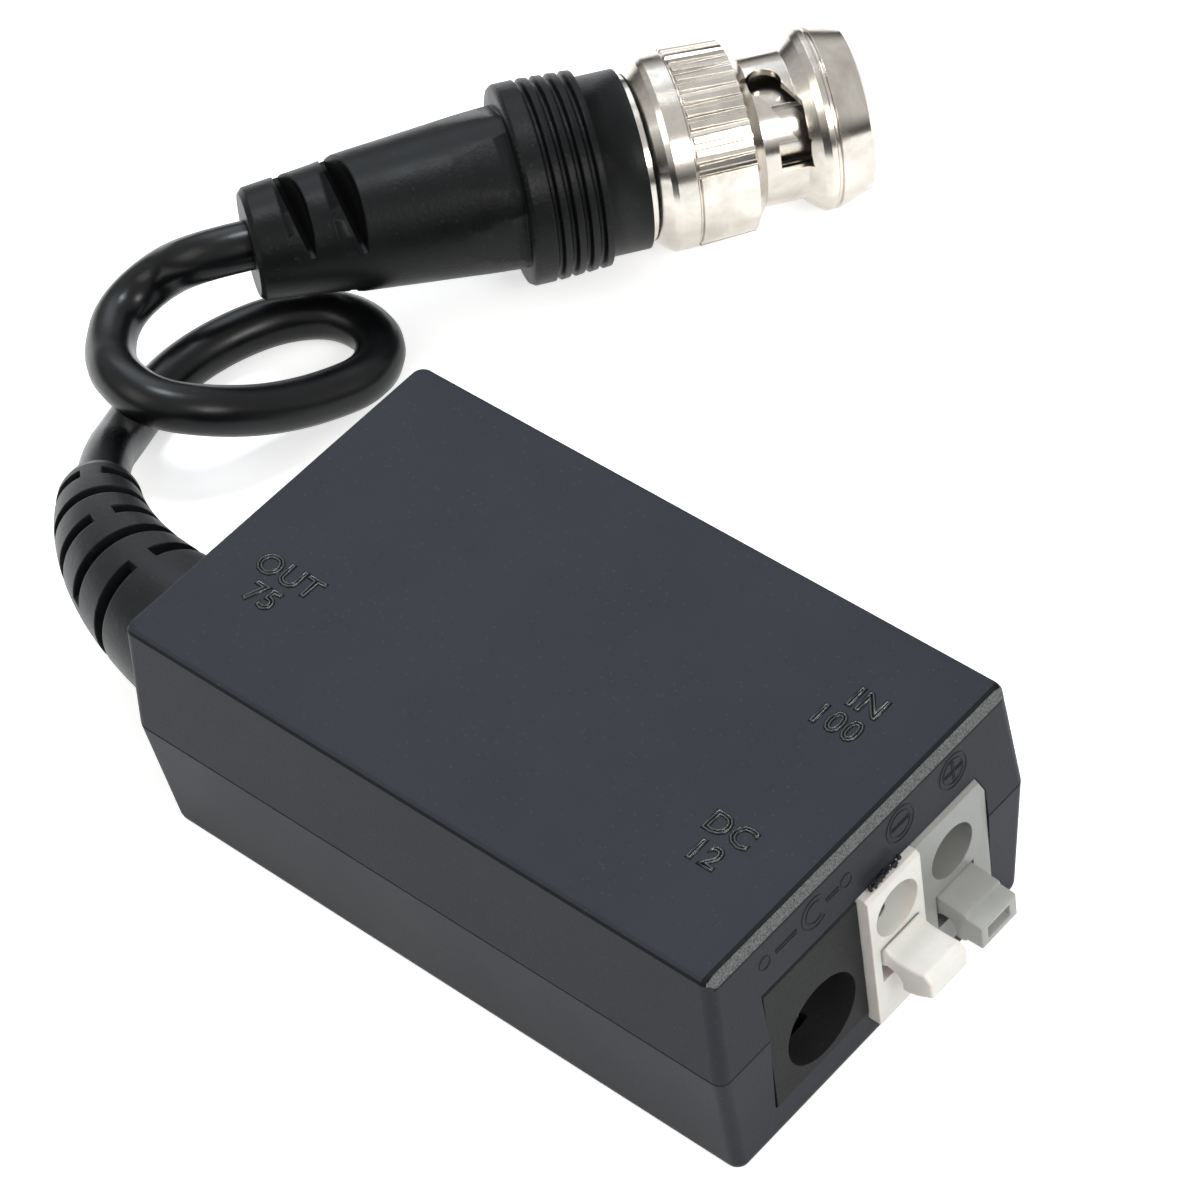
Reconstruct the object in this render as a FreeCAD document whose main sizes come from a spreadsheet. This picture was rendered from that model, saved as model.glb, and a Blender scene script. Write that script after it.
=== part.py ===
import FreeCAD, Part
import math
import os
import re
import Sketcher

# A CCTV video balun: a small two-part case with a power socket and two lever
# terminals at one end, and a short moulded cable with a bayonet video plug at
# the other. Millimetres, +Z up, +X towards the terminals, origin at the
# middle of the case's underside.

doc = FreeCAD.newDocument("VideoBalun")

# Driving dimensions
SIZES = {
    # case
    "case_length": 49.9,
    "case_width": 29.8,
    "parting_height": 10.1,
    "case_height": 19.2,
    "end_draft": 0.45,
    "base_side_draft": 0.8,
    "top_side_draft": 0.6,
    "wall": 1.5,
    "floor_wall": 1.2,
    "roof_wall": 1.5,
    "corner_round": 0.8,
    "base_round": 0.6,
    "front_bevel": 0.4,
    "front_bevel_drop": 0.75,
    "rim_bevel": 0.35,
    "tongue_width": 0.6,
    "tongue_depth": 1.0,
    "seam_bevel": 0.09,
    "seat_gap": 0.05,
    # posts that hold the board and locate the cover
    "post_to_jack": 2.2,
    "rear_post_inset": 3.85,
    "post_side_inset": 2.3,
    "post_radius": 1.4,
    "shoulder_radius": 2.2,
    "post_drop": 1.7,
    "peg_radius": 0.8,
    "peg_length": 3.0,
    "peg_gap": 0.3,
    # circuit board
    "board_rise": 0.8,
    "board_thickness": 1.0,
    "board_front_inset": 4.65,
    "board_rear_inset": 1.25,
    "board_side_inset": 1.0,
    "lead_gap": 0.15,
    "lead_stub": 0.5,
    # electronics on the board
    "can_to_jack": 5.9,
    "can_side": 7.2,
    "can_radius": 2.5,
    "can_height": 6.6,
    "can_lead_side": 1.0,
    "can_lead_radius": 0.3,
    "core_to_can": 8.1,
    "core_side": 4.2,
    "core_inner": 2.1,
    "core_outer": 4.3,
    "core_height": 3.0,
    "winding": 0.45,
    "winding_turns": 20,
    "chip_side": -6.0,
    "regulator_inset": 5.9,
    "regulator_side": 4.5,
    # power socket
    "jack_setback": 0.25,
    "jack_gap": 0.15,
    "jack_length": 14.2,
    "jack_side": -5.8,
    "jack_width": 8.9,
    "jack_height": 11.3,
    "jack_bore_radius": 3.25,
    "jack_bore_depth": 11.2,
    "jack_bore_shift": 0.3,
    "jack_bore_rise": 3.85,
    "jack_pin_radius": 1.05,
    "jack_pin_root": 1.4,
    "jack_pin_setback": 2.2,
    "jack_contact_width": 2.2,
    "strip": 0.3,
    # lever terminals
    "terminal_depth": 8.95,
    "terminal_height": 11.35,
    "apron_drop": 0.7,
    "terminal_gap": 0.1,
    "white_proud": 0.55,
    "white_width": 5.1,
    "white_middle_inset": 2.6,
    "white_hole_rise": 8.35,
    "white_lever_rise": 5.9,
    "white_lever_reach": 3.6,
    "grey_proud": 0.05,
    "grey_width": 6.4,
    "grey_middle_inset": 3.45,
    "grey_hole_rise": 7.45,
    "grey_lever_rise": 4.6,
    "grey_lever_reach": 3.4,
    "grey_flange": 0.75,
    "grey_flange_drop": 1.8,
    "wire_hole_radius": 2.0,
    "wire_hole_depth": 3.9,
    "wire_way_radius": 0.8,
    "lever_width": 3.5,
    "lever_arm": 3.3,
    "lever_gap": 0.15,
    "pivot_inset": 2.4,
    "pivot_drop": 0.75,
    "pivot_radius": 0.55,
    "pivot_gap": 0.05,
    "trunnion": 0.35,
    "clamp_inset": 1.4,
    "clamp_reach": 2.0,
    "clamp_width": 2.6,
    "clamp_tail": 1.6,
    # strain relief
    "relief_inset": 7.6,
    "relief_length": 22.5,
    "relief_turn": 48.0,
    "relief_droop": 25.0,
    "relief_base_radius": 5.4,
    "relief_shoulder_radius": 2.95,
    "relief_dome": 1.5,
    "relief_neck_radius": 3.6,
    "relief_inner_radius": 4.6,
    "relief_inner_thick": 0.85,
    "relief_slot": 1.25,
    "relief_slot_pitch": 3.4,
    "relief_slot_first": 2.8,
    "relief_slot_rows": 5,
    "relief_core_radius": 2.35,
    "relief_web": 1.5,
    # cable
    "cable_radius": 1.85,
    "cable_tail": 3.5,
    "inner_lead_radius": 0.45,
    "inner_lead_side": 0.8,
    # plug place: middle of the boot's tail end, its heading and its droop
    "plug_x": -50.56,
    "plug_y": 22.44,
    "plug_z": 9.5,
    "plug_yaw": 56.2,
    "plug_droop": 3.22,
    # plug boot, from its tail
    "tail_ring": 2.25,
    "tail_slot": 1.3,
    "second_ring": 2.1,
    "second_slot": 1.75,
    "boot_taper_length": 11.9,
    "collar_flange": 1.7,
    "collar_rib_pitch": 1.05,
    "collar_rib_count": 4,
    "collar_rib_depth": 0.5,
    "nose_length": 3.1,
    "tail_radius": 4.15,
    "second_radius": 4.7,
    "taper_start_radius": 5.05,
    "taper_end_radius": 6.1,
    "collar_radius": 7.42,
    "nose_radius": 6.65,
    "boot_slot_core": 2.12,
    "boot_slot_slope": 0.4,
    "boot_slot_lean": 10,
    "petal_depth": 0.42,
    "petal_count": 6,
    # plug body and what it carries
    "barrel_length": 6.5,
    "barrel_radius": 2.45,
    "barrel_bore": 1.6,
    "ferrule_wall": 0.5,
    "shank_length": 8.8,
    "shank_radius": 4.0,
    "shank_bore": 2.1,
    "rear_flange": 0.5,
    "rear_flange_radius": 6.1,
    "seat_length": 4.2,
    "seat_radius": 4.6,
    "ring_step": 0.2,
    "ring_length": 1.2,
    "ring_width": 1.45,
    "contact_length": 9.7,
    "contact_radius": 4.05,
    "contact_wall": 0.6,
    "contact_slot": 0.35,
    "contact_slot_length": 5.6,
    "contact_slot_count": 6,
    "insulator_inset": 1.2,
    "insulator_base": 3.6,
    "insulator_recess": 0.7,
    "insulator_wall": 0.85,
    "pin_radius": 0.68,
    "pin_root_radius": 1.0,
    "pin_root_inset": 2.0,
    "pin_recess": 2.1,
    "pin_cone": 1.7,
    "gasket_thick": 1.1,
    "washer_thick": 0.4,
    "spring_strip": 0.3,
    "spring_waves": 3,
    # coupling sleeve
    "running_gap": 0.05,
    "sleeve_lip": 1.3,
    "sleeve_hood": 1.2,
    "sleeve_wall": 0.9,
    "sleeve_rest_turn": 103.0,
    "sleeve_room": 0.2,
    "socket_room": 0.9,
    "knurl_inset": 3.05,
    "knurl_length": 4.2,
    "knurl_depth": 0.35,
    "knurl_taper": 0.2,
    "knurl_count": 38,
    "knurl_pitch": 8.0,
    "knurl_start": 117.0,
    "neck_wall": 0.65,
    "front_ring_length": 4.9,
    "front_ring_radius": 6.85,
    "front_taper": 2.6,
    "front_drop": 0.6,
    "lug_radius": 1.12,
    "lug_play": 0.18,
    "cam_inset": 3.7,
    "cam_rise": 3.2,
    "cam_turn": 60.0,
}

sheet = doc.addObject("Spreadsheet::Sheet", "Sizes")
for row, (alias, value) in enumerate(SIZES.items(), start=1):
    sheet.set(f"A{row}", alias)
    sheet.set(f"B{row}", str(value))
    sheet.setAlias(f"B{row}", alias)
doc.recompute()

PIECES = []


def linked(text):
    """Turn the size names in a formula into references to the sheet."""
    return re.sub(r"[a-z_]{3,}", lambda m: f"<<Sizes>>.{m[0]}" if m[0] in SIZES else m[0], text)


def size(text):
    """The value of a formula in size names."""
    return float(sheet.evalExpression(linked(text)))


def bind(thing, **formulas):
    for name, text in formulas.items():
        thing.setExpression(name, linked(text))


# Sketches and solid features of a body

def new_body(label):
    body = doc.addObject("PartDesign::Body", label)
    body.Label = label
    PIECES.append(body)
    return body


def origin_part(body, role):
    return next(part for part in body.Origin.OriginFeatures if part.Role == role)


def new_sketch(body, role, offset):
    sketch = body.newObject("Sketcher::SketchObject", "Sketch")
    sketch.AttachmentSupport = [(origin_part(body, role), "")]
    sketch.MapMode = "FlatFace"
    sketch.setExpression("AttachmentOffset.Base.z", linked(offset))
    return sketch


def fix_point(sketch, line, corner):
    for kind, text in zip(("DistanceX", "DistanceY"), corner):
        value = size(text)
        k = sketch.addConstraint(Sketcher.Constraint(kind, -1, 1, line, 1, value))
        sketch.setExpression(f"Constraints[{k}]", linked(text))


def add_outline(sketch, corners):
    """A closed outline of straight lines with every corner held by two formulas."""
    spots = [FreeCAD.Vector(size(u), size(v), 0) for u, v in corners]
    first = sketch.GeometryCount
    count = len(corners)
    for k in range(count):
        sketch.addGeometry(Part.LineSegment(spots[k], spots[(k + 1) % count]), False)
    for k in range(count):
        sketch.addConstraint(Sketcher.Constraint("Coincident", first + k, 2, first + (k + 1) % count, 1))
    for k in range(count):
        fix_point(sketch, first + k, corners[k])


def add_circle(sketch, u, v, radius):
    spot = FreeCAD.Vector(size(u), size(v), 0)
    line = sketch.addGeometry(Part.Circle(spot, FreeCAD.Vector(0, 0, 1), size(radius)), False)
    k = sketch.addConstraint(Sketcher.Constraint("Radius", line, size(radius)))
    sketch.setExpression(f"Constraints[{k}]", linked(radius))
    for kind, text in (("DistanceX", u), ("DistanceY", v)):
        k = sketch.addConstraint(Sketcher.Constraint(kind, -1, 1, line, 3, size(text)))
        sketch.setExpression(f"Constraints[{k}]", linked(text))


def outline(body, role, offset, corners):
    sketch = new_sketch(body, role, offset)
    add_outline(sketch, corners)
    return sketch


def rectangle(half_u, half_v):
    return [
        (f"-({half_u})", f"-({half_v})"),
        (f"{half_u}", f"-({half_v})"),
        (f"{half_u}", f"{half_v}"),
        (f"-({half_u})", f"{half_v}"),
    ]


def rounded(body, offset, half_u, half_v, radius):
    """A level rectangle with rounded corners, its arcs' ends held by formulas."""
    sketch = new_sketch(body, "XY_Plane", offset)
    corners = []
    for u, v in ((1, 1), (-1, 1), (-1, -1), (1, -1)):
        side = (f"{u} * ({half_u})", f"{v} * ({half_v} - {radius})")
        end = (f"{u} * ({half_u} - {radius})", f"{v} * ({half_v})")
        centre = FreeCAD.Vector(u * size(f"{half_u} - {radius}"), v * size(f"{half_v} - {radius}"), 0)
        corners.append((centre, side, end) if u * v > 0 else (centre, end, side))
    circle_radius = size(radius)
    for k, (centre, start, finish) in enumerate(corners):
        circle = Part.Circle(centre, FreeCAD.Vector(0, 0, 1), circle_radius)
        arc = Part.ArcOfCircle(circle, math.pi / 2 * k, math.pi / 2 * (k + 1))
        sketch.addGeometry(arc, False)
    for k, (centre, start, finish) in enumerate(corners):
        here = FreeCAD.Vector(size(finish[0]), size(finish[1]), 0)
        there = corners[(k + 1) % 4][1]
        line = Part.LineSegment(here, FreeCAD.Vector(size(there[0]), size(there[1]), 0))
        sketch.addGeometry(line, False)
    for k, (centre, start, finish) in enumerate(corners):
        sketch.addConstraint(Sketcher.Constraint("Coincident", k, 2, 4 + k, 1))
        sketch.addConstraint(Sketcher.Constraint("Coincident", 4 + k, 2, (k + 1) % 4, 1))
        fix_point(sketch, 4 + k, finish)
        fix_point(sketch, k, start)
        c = sketch.addConstraint(Sketcher.Constraint("Radius", k, circle_radius))
        sketch.setExpression(f"Constraints[{c}]", linked(radius))
    return sketch


def span(u_low, u_high, v_low, v_high):
    return [(u_low, v_low), (u_high, v_low), (u_high, v_high), (u_low, v_high)]


def circles(body, role, offset, rings):
    sketch = new_sketch(body, role, offset)
    for u, v, radius in rings:
        add_circle(sketch, u, v, radius)
    return sketch


def extrude(body, kind, sketch, length, side="One side", reverse=False):
    feature = body.newObject(f"PartDesign::{kind}", kind)
    feature.Profile = sketch
    feature.SideType = side
    feature.Reversed = reverse
    feature.setExpression("Length", linked(length))
    return feature


def pad(body, sketch, length, side="One side", reverse=False):
    return extrude(body, "Pad", sketch, length, side, reverse)


def pocket(body, sketch, length, side="One side", reverse=False):
    return extrude(body, "Pocket", sketch, length, side, reverse)


def loft(body, kind, first, *others):
    feature = body.newObject(f"PartDesign::{kind}", kind)
    feature.Profile = first
    feature.Sections = list(others)
    feature.Ruled = True
    return feature


def turned(body, kind, sketch, angle="360", middle=False):
    """A revolved solid, or a turned groove, about the sketch's upright axis."""
    feature = body.newObject(f"PartDesign::{kind}", kind)
    feature.Profile = sketch
    feature.ReferenceAxis = (sketch, ["V_Axis"])
    feature.Midplane = middle
    feature.setExpression("Angle", linked(angle))
    return feature


def around(body, originals, count, angle="360"):
    feature = body.newObject("PartDesign::PolarPattern", "PolarPattern")
    feature.Originals = originals
    feature.Axis = (origin_part(body, "Z_Axis"), [""])
    feature.setExpression("Angle", linked(angle))
    feature.setExpression("Occurrences", linked(count))
    body.Tip = feature
    return feature


# Simple solids and booleans

def box(label, low, lengths):
    block = doc.addObject("Part::Box", label)
    bind(block, **{
        "Length": lengths[0],
        "Width": lengths[1],
        "Height": lengths[2],
        "Placement.Base.x": low[0],
        "Placement.Base.y": low[1],
        "Placement.Base.z": low[2],
    })
    return block


def rod(label, low, radius, length, along="Z"):
    bar = doc.addObject("Part::Cylinder", label)
    turn = {"Z": (0, 0, 1, 0), "X": (0, 1, 0, 90), "Y": (1, 0, 0, -90)}[along]
    bar.Placement.Rotation = FreeCAD.Rotation(FreeCAD.Vector(*turn[:3]), turn[3])
    bind(bar, **{
        "Radius": radius,
        "Height": length,
        "Placement.Base.x": low[0],
        "Placement.Base.y": low[1],
        "Placement.Base.z": low[2],
    })
    return bar


def joined(label, solids):
    group = doc.addObject("Part::MultiFuse", label)
    group.Shapes = solids
    return group


def cut(label, base, tools):
    result = doc.addObject("Part::Cut", label)
    result.Base = base
    result.Tool = tools[0] if len(tools) == 1 else joined(label + "_tools", tools)
    return result


def piece(solid, label):
    solid.Label = label
    PIECES.append(solid)
    return solid


def shaped(label, shape):
    """A piece whose solid is worked out here from the sheet's values."""
    feature = doc.addObject("Part::Feature", label)
    feature.Shape = shape
    feature.Label = label
    PIECES.append(feature)
    return feature


def rounded_path(points, share=0.45):
    """Straight runs joined by arcs that touch them, and the arcs' radii."""
    spots = [FreeCAD.Vector(*point) for point in points]
    edges, radii = [], []
    start = spots[0]
    for before, corner, after in zip(spots, spots[1:], spots[2:]):
        toward = (corner - before).normalize()
        away = (after - corner).normalize()
        half = toward.getAngle(away) / 2
        reach = share * min((corner - before).Length, (after - corner).Length)
        radii.append(reach / math.tan(half))
        enter, leave = corner - toward * reach, corner + away * reach
        bisector = (away - toward).normalize()
        middle = corner + bisector * (radii[-1] / math.cos(half) - radii[-1])
        edges.append(Part.LineSegment(start, enter).toShape())
        edges.append(Part.Arc(enter, middle, leave).toShape())
        start = leave
    edges.append(Part.LineSegment(start, spots[-1]).toShape())
    return Part.Wire(edges), radii


def tube(points, radius):
    path, radii = rounded_path(points)
    start, ahead = FreeCAD.Vector(*points[0]), FreeCAD.Vector(*points[1])
    ring = Part.Wire(Part.Circle(start, ahead - start, radius).toShape())
    solid = path.makePipeShell([ring], True, False)
    return solid, path.Length, radii


# Places that several pieces share, as formulas in size names

END = "case_length / 2"
SIDE = "case_width / 2"
INNER_X = "case_length / 2 - wall"
INNER_Y = "case_width / 2 - wall"
BASE_X = "case_length / 2 - end_draft"
BASE_Y = "case_width / 2 - base_side_draft"
TOP_X = BASE_X
TOP_Y = "case_width / 2 - top_side_draft"
OUTSIDE = "case_length / 2 + 1"
BOARD_LOW = "floor_wall + board_rise"
BOARD_TOP = "floor_wall + board_rise + board_thickness"
BOARD_FRONT = "case_length / 2 - board_front_inset"
BOARD_REAR = "-(case_length / 2 - wall - board_rear_inset)"
BOARD_SIDE = "case_width / 2 - wall - board_side_inset"
LEAD_END = f"{BOARD_LOW} - lead_stub"
POST_TOP = "parting_height - post_drop"
JACK_FRONT = "case_length / 2 - jack_setback"
JACK_REAR = "case_length / 2 - jack_setback - jack_length"
JACK_LOW_Y = "jack_side - jack_width / 2"
JACK_BORE_Y = "jack_side + jack_bore_shift"
JACK_BORE_Z = f"{BOARD_TOP} + jack_bore_rise"
TERMINAL_REAR = "case_length / 2 - terminal_depth"
TERMINAL_TOP = f"{BOARD_TOP} + terminal_height"
TERMINAL_LOW = f"{BOARD_TOP} - apron_drop"
CLAMP_X = f"{TERMINAL_REAR} + clamp_inset"
CONTACT_X = f"{JACK_REAR} + 1.5"
WHITE_LOW = "jack_side + jack_width / 2 + terminal_gap"
GREY_LOW = f"{WHITE_LOW} + white_width + seat_gap"
GREY_HIGH = f"{GREY_LOW} + grey_width"
POST_X = f"{JACK_REAR} - post_to_jack"
REAR_POST_X = "-(case_length / 2 - wall - rear_post_inset)"
POST_Y = "(case_width / 2 - wall - post_side_inset)"
CAN_X = f"{JACK_REAR} - can_to_jack"
CORE_X = f"{CAN_X} - core_to_can"
REGULATOR_X = f"{BOARD_REAR} + regulator_inset"
RELIEF_Y = "-(case_width / 2 - relief_inset)"

POSTS = [
    (POST_X, f"-{POST_Y}"),
    (POST_X, POST_Y),
    (REAR_POST_X, f"-{POST_Y}"),
    (REAR_POST_X, POST_Y),
]

# The two terminals: low side, middle of hole and lever, high side, face, hole and lever heights
TERMINALS = {
    "white": {
        "low": WHITE_LOW,
        "middle": f"({WHITE_LOW} + white_middle_inset)",
        "high": f"({WHITE_LOW} + white_width)",
        "face": "case_length / 2 + white_proud",
        "hole": f"{BOARD_TOP} + white_hole_rise",
        "lever": f"{BOARD_TOP} + white_lever_rise",
        "reach": "white_lever_reach",
    },
    "grey": {
        "low": GREY_LOW,
        "middle": f"({GREY_LOW} + grey_middle_inset)",
        "high": f"({GREY_HIGH})",
        "face": "case_length / 2 + grey_proud",
        "hole": f"{BOARD_TOP} + grey_hole_rise",
        "lever": f"{BOARD_TOP} + grey_lever_rise",
        "reach": "grey_lever_reach",
    },
}

# Case

WINDOW_LOW = f"{TERMINAL_LOW} - seat_gap"
WINDOW_STEP = f"{BOARD_TOP} - seat_gap"
WINDOW_TOP = f"{TERMINAL_TOP} + seat_gap"
WINDOW_HIGH_Y = f"{GREY_HIGH} + grey_flange + seat_gap"
WINDOW = [
    (f"{JACK_LOW_Y} - jack_gap", WINDOW_STEP),
    (f"{WHITE_LOW} - seat_gap", WINDOW_STEP),
    (f"{WHITE_LOW} - seat_gap", WINDOW_LOW),
    (WINDOW_HIGH_Y, WINDOW_LOW),
    (WINDOW_HIGH_Y, f"{WINDOW_TOP} - grey_flange_drop"),
    (f"{WINDOW_HIGH_Y} - grey_flange", WINDOW_TOP),
    (f"{JACK_LOW_Y} - jack_gap", WINDOW_TOP),
]


def open_front_and_rear(body):
    """The window for the socket and terminals, and the cable's round opening."""
    window = outline(body, "YZ_Plane", OUTSIDE, WINDOW)
    pocket(body, window, "wall + 2.5")
    neck = [(RELIEF_Y, "parting_height", "relief_neck_radius + seat_gap")]
    pocket(body, circles(body, "YZ_Plane", f"-({INNER_X} - 1)", neck), "wall + 3")


def make_bottom_cover():
    body = new_body("bottom_cover")
    rings = []
    for height, inset in (("0", "base_round"), ("0.15 * base_round", "0.4 * base_round"),
                          ("0.45 * base_round", "0.12 * base_round"), ("base_round", "0")):
        rings.append(rounded(body, height, f"{BASE_X} - {inset}", f"{BASE_Y} - {inset}", "corner_round"))
    rings.append(rounded(body, "parting_height - seam_bevel", END, SIDE, "corner_round"))
    rings.append(rounded(body, "parting_height", f"{END} - seam_bevel", f"{SIDE} - seam_bevel",
                         "corner_round"))
    loft(body, "AdditiveLoft", *rings)
    floor = outline(body, "XY_Plane", "floor_wall", rectangle(f"{BASE_X} - wall", f"{BASE_Y} - wall"))
    mouth = outline(body, "XY_Plane", "parting_height", rectangle(INNER_X, INNER_Y))
    loft(body, "SubtractiveLoft", floor, mouth)
    groove = "tongue_width + seat_gap"
    rebate = rectangle(f"{INNER_X} + {groove}", f"{INNER_Y} + {groove}")
    pocket(body, outline(body, "XY_Plane", "parting_height", rebate), "tongue_depth + seat_gap")
    shoulders = [(x, y, "shoulder_radius") for x, y in POSTS]
    pad(body, circles(body, "XY_Plane", "floor_wall / 2", shoulders), f"{BOARD_LOW} - floor_wall / 2")
    posts = [(x, y, "post_radius") for x, y in POSTS]
    pad(body, circles(body, "XY_Plane", "floor_wall / 2", posts), f"{POST_TOP} - floor_wall / 2")
    holes = [(x, y, "peg_radius + seat_gap") for x, y in POSTS]
    pocket(body, circles(body, "XY_Plane", POST_TOP, holes), "peg_length + peg_gap")
    open_front_and_rear(body)


def make_top_cover():
    body = new_body("top_cover")
    rings = [
        rounded(body, "parting_height", f"{END} - seam_bevel", f"{SIDE} - seam_bevel", "corner_round"),
        rounded(body, "parting_height + seam_bevel", END, SIDE, "corner_round"),
    ]
    for drop, inset in (("rim_bevel", "0"), ("0.3 * rim_bevel", "0.3 * rim_bevel"), ("0", "rim_bevel")):
        rings.append(rounded(body, f"case_height - {drop}", f"{TOP_X} - {inset}", f"{TOP_Y} - {inset}",
                             "corner_round"))
    loft(body, "AdditiveLoft", *rings)
    bevel = [
        (f"{TOP_X} - front_bevel", "case_height + 0.01"),
        (OUTSIDE, "case_height + 0.01"),
        (OUTSIDE, "case_height - front_bevel_drop"),
        (f"{TOP_X} + 0.05", "case_height - front_bevel_drop"),
    ]
    pocket(body, outline(body, "XZ_Plane", "0", bevel), "case_width + 2", "Symmetric")
    mouth = outline(body, "XY_Plane", "parting_height", rectangle(INNER_X, INNER_Y))
    roof = outline(body, "XY_Plane", "case_height - roof_wall", rectangle(f"{TOP_X} - wall", f"{TOP_Y} - wall"))
    loft(body, "SubtractiveLoft", mouth, roof)
    tongue = new_sketch(body, "XY_Plane", "parting_height")
    add_outline(tongue, rectangle(f"{INNER_X} + tongue_width", f"{INNER_Y} + tongue_width"))
    add_outline(tongue, rectangle(INNER_X, INNER_Y))
    pad(body, tongue, "tongue_depth", reverse=True)
    bosses = [(x, y, "post_radius") for x, y in POSTS]
    pad(body, circles(body, "XY_Plane", f"{POST_TOP} + seat_gap", bosses),
        f"case_height - roof_wall / 2 - ({POST_TOP}) - seat_gap")
    pegs = [(x, y, "peg_radius") for x, y in POSTS]
    pad(body, circles(body, "XY_Plane", f"{POST_TOP} - peg_length", pegs), "peg_length + 1")
    open_front_and_rear(body)


# Circuit board and the electronics on it

def slot_hole(label, x, y, width):
    """A slot through the board for a flat tail that starts at x."""
    return box(label, (f"{x} - lead_gap", f"{y} - {width} / 2 - lead_gap", f"{BOARD_LOW} - 1"),
               ("strip + 2 * lead_gap", f"{width} + 2 * lead_gap", "board_thickness + 2"))


def make_board():
    slab = box("board_slab", (BOARD_REAR, f"-({BOARD_SIDE})", BOARD_LOW),
               (f"{BOARD_FRONT} - ({BOARD_REAR})", f"2 * ({BOARD_SIDE})", "board_thickness"))
    holes = []
    for k, (x, y) in enumerate(POSTS):
        holes.append(rod(f"post_hole_{k}", (x, y, f"{BOARD_LOW} - 1"), "post_radius + lead_gap",
                         "board_thickness + 2"))
    for side in ("can_side", "-can_side"):
        for lead in ("can_lead_side", "-can_lead_side"):
            holes.append(rod(f"can_hole_{len(holes)}", (CAN_X, f"{side} + {lead}", f"{BOARD_LOW} - 1"),
                             "can_lead_radius + lead_gap", "board_thickness + 2"))
    holes.append(slot_hole("jack_pin_slot", f"{JACK_REAR} - strip", JACK_BORE_Y, "clamp_tail"))
    holes.append(slot_hole("jack_contact_slot", CONTACT_X, JACK_BORE_Y, "jack_contact_width"))
    for colour, terminal in TERMINALS.items():
        holes.append(slot_hole(f"{colour}_clamp_slot", CLAMP_X, terminal["middle"], "clamp_tail"))
    piece(cut("board", slab, holes), "circuit_board")


def stand_on_board(body, x, y):
    bind(body, **{"Placement.Base.x": x, "Placement.Base.y": y, "Placement.Base.z": BOARD_TOP})


def make_transformer():
    core = new_body("transformer_core")
    ring = span("core_inner", "core_outer", "winding", "winding + core_height")
    turned(core, "Revolution", outline(core, "XZ_Plane", "0", ring))
    stand_on_board(core, CORE_X, "core_side")
    coil = new_body("balun_winding")
    gap = "winding + seat_gap"
    outer = span(f"core_inner - {gap}", f"core_outer + {gap}", "0", "core_height + 2 * winding")
    turned(coil, "Revolution", outline(coil, "XZ_Plane", "0", outer), "310", True)
    inner = span("core_inner - seat_gap", "core_outer + seat_gap", "winding", "winding + core_height")
    turned(coil, "Groove", outline(coil, "XZ_Plane", "0", inner))
    groove = outline(coil, "XY_Plane", "core_height + 2 * winding",
                     [("core_inner", "-0.1"), ("core_outer + winding + 0.2", "-0.1"),
                      ("core_outer + winding + 0.2", "0.1"), ("core_inner", "0.1")])
    score = pocket(coil, groove, "winding / 2")
    around(coil, [score], "winding_turns")
    stand_on_board(coil, CORE_X, "core_side")


def make_capacitor(label, side):
    can = new_body(label)
    wall = [
        ("0", "0"),
        ("can_radius - 0.2", "0"),
        ("can_radius", "0.2"),
        ("can_radius", "1.0"),
        ("can_radius - 0.25", "1.25"),
        ("can_radius", "1.5"),
        ("can_radius", "can_height - 0.2"),
        ("can_radius - 0.2", "can_height"),
        ("0", "can_height"),
    ]
    turned(can, "Revolution", outline(can, "XZ_Plane", "0", wall))
    leads = [("0", "can_lead_side", "can_lead_radius"), ("0", "-can_lead_side", "can_lead_radius")]
    pad(can, circles(can, "XY_Plane", "0.5", leads), f"0.5 + {BOARD_TOP} - ({LEAD_END})", reverse=True)
    stand_on_board(can, CAN_X, side)


def leaded_package(label, x, y, half_x, half_y, height, legs):
    """A moulded package with gull-wing legs given as (x, side, width, reach)."""
    solids = [box(f"{label}_case", (f"{x} - {half_x}", f"{y} - {half_y}", f"{BOARD_TOP} + 0.15"),
                  (f"2 * {half_x}", f"2 * {half_y}", height))]
    for k, (offset, side, width, reach) in enumerate(legs):
        left = f"{x} + ({offset}) - {width} / 2"
        foot = f"{y} + {half_y} - 0.1" if side > 0 else f"{y} - {half_y} - {reach}"
        solids.append(box(f"{label}_foot_{k}", (left, foot, BOARD_TOP), (width, f"{reach} + 0.1", "0.2")))
        rise = f"{y} + {half_y} - 0.1" if side > 0 else f"{y} - {half_y} - 0.25"
        solids.append(box(f"{label}_knee_{k}", (left, rise, BOARD_TOP), (width, "0.35", f"{height} / 2")))
    piece(joined(f"{label}_package", solids), label)


def make_electronics():
    make_transformer()
    make_capacitor("capacitor_1", "can_side")
    make_capacitor("capacitor_2", "-can_side")
    pins = [(f"{k} * 1.27 - 1.905", side, "0.42", "1.0") for k in range(4) for side in (1, -1)]
    leaded_package("amplifier_chip", CORE_X, "chip_side", "2.45", "1.95", "1.5", pins)
    tabs = [("0", 1, "3.0", "1.6"), ("-2.3", -1, "0.7", "1.6"), ("0", -1, "0.7", "1.6"),
            ("2.3", -1, "0.7", "1.6")]
    leaded_package("regulator", REGULATOR_X, "regulator_side", "3.25", "1.75", "1.6", tabs)
    chips = []
    for column in range(2):
        for line in range(3):
            spot = (f"{CORE_X} - 4.1 - {column} * 1.8", f"chip_side - 1.6 + {line} * 2.3", BOARD_TOP)
            chips.append(box(f"chip_{column}_{line}", spot, ("0.8", "1.6", "0.5")))
    piece(joined("chips", chips), "chip_resistors")


# Power socket

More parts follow.
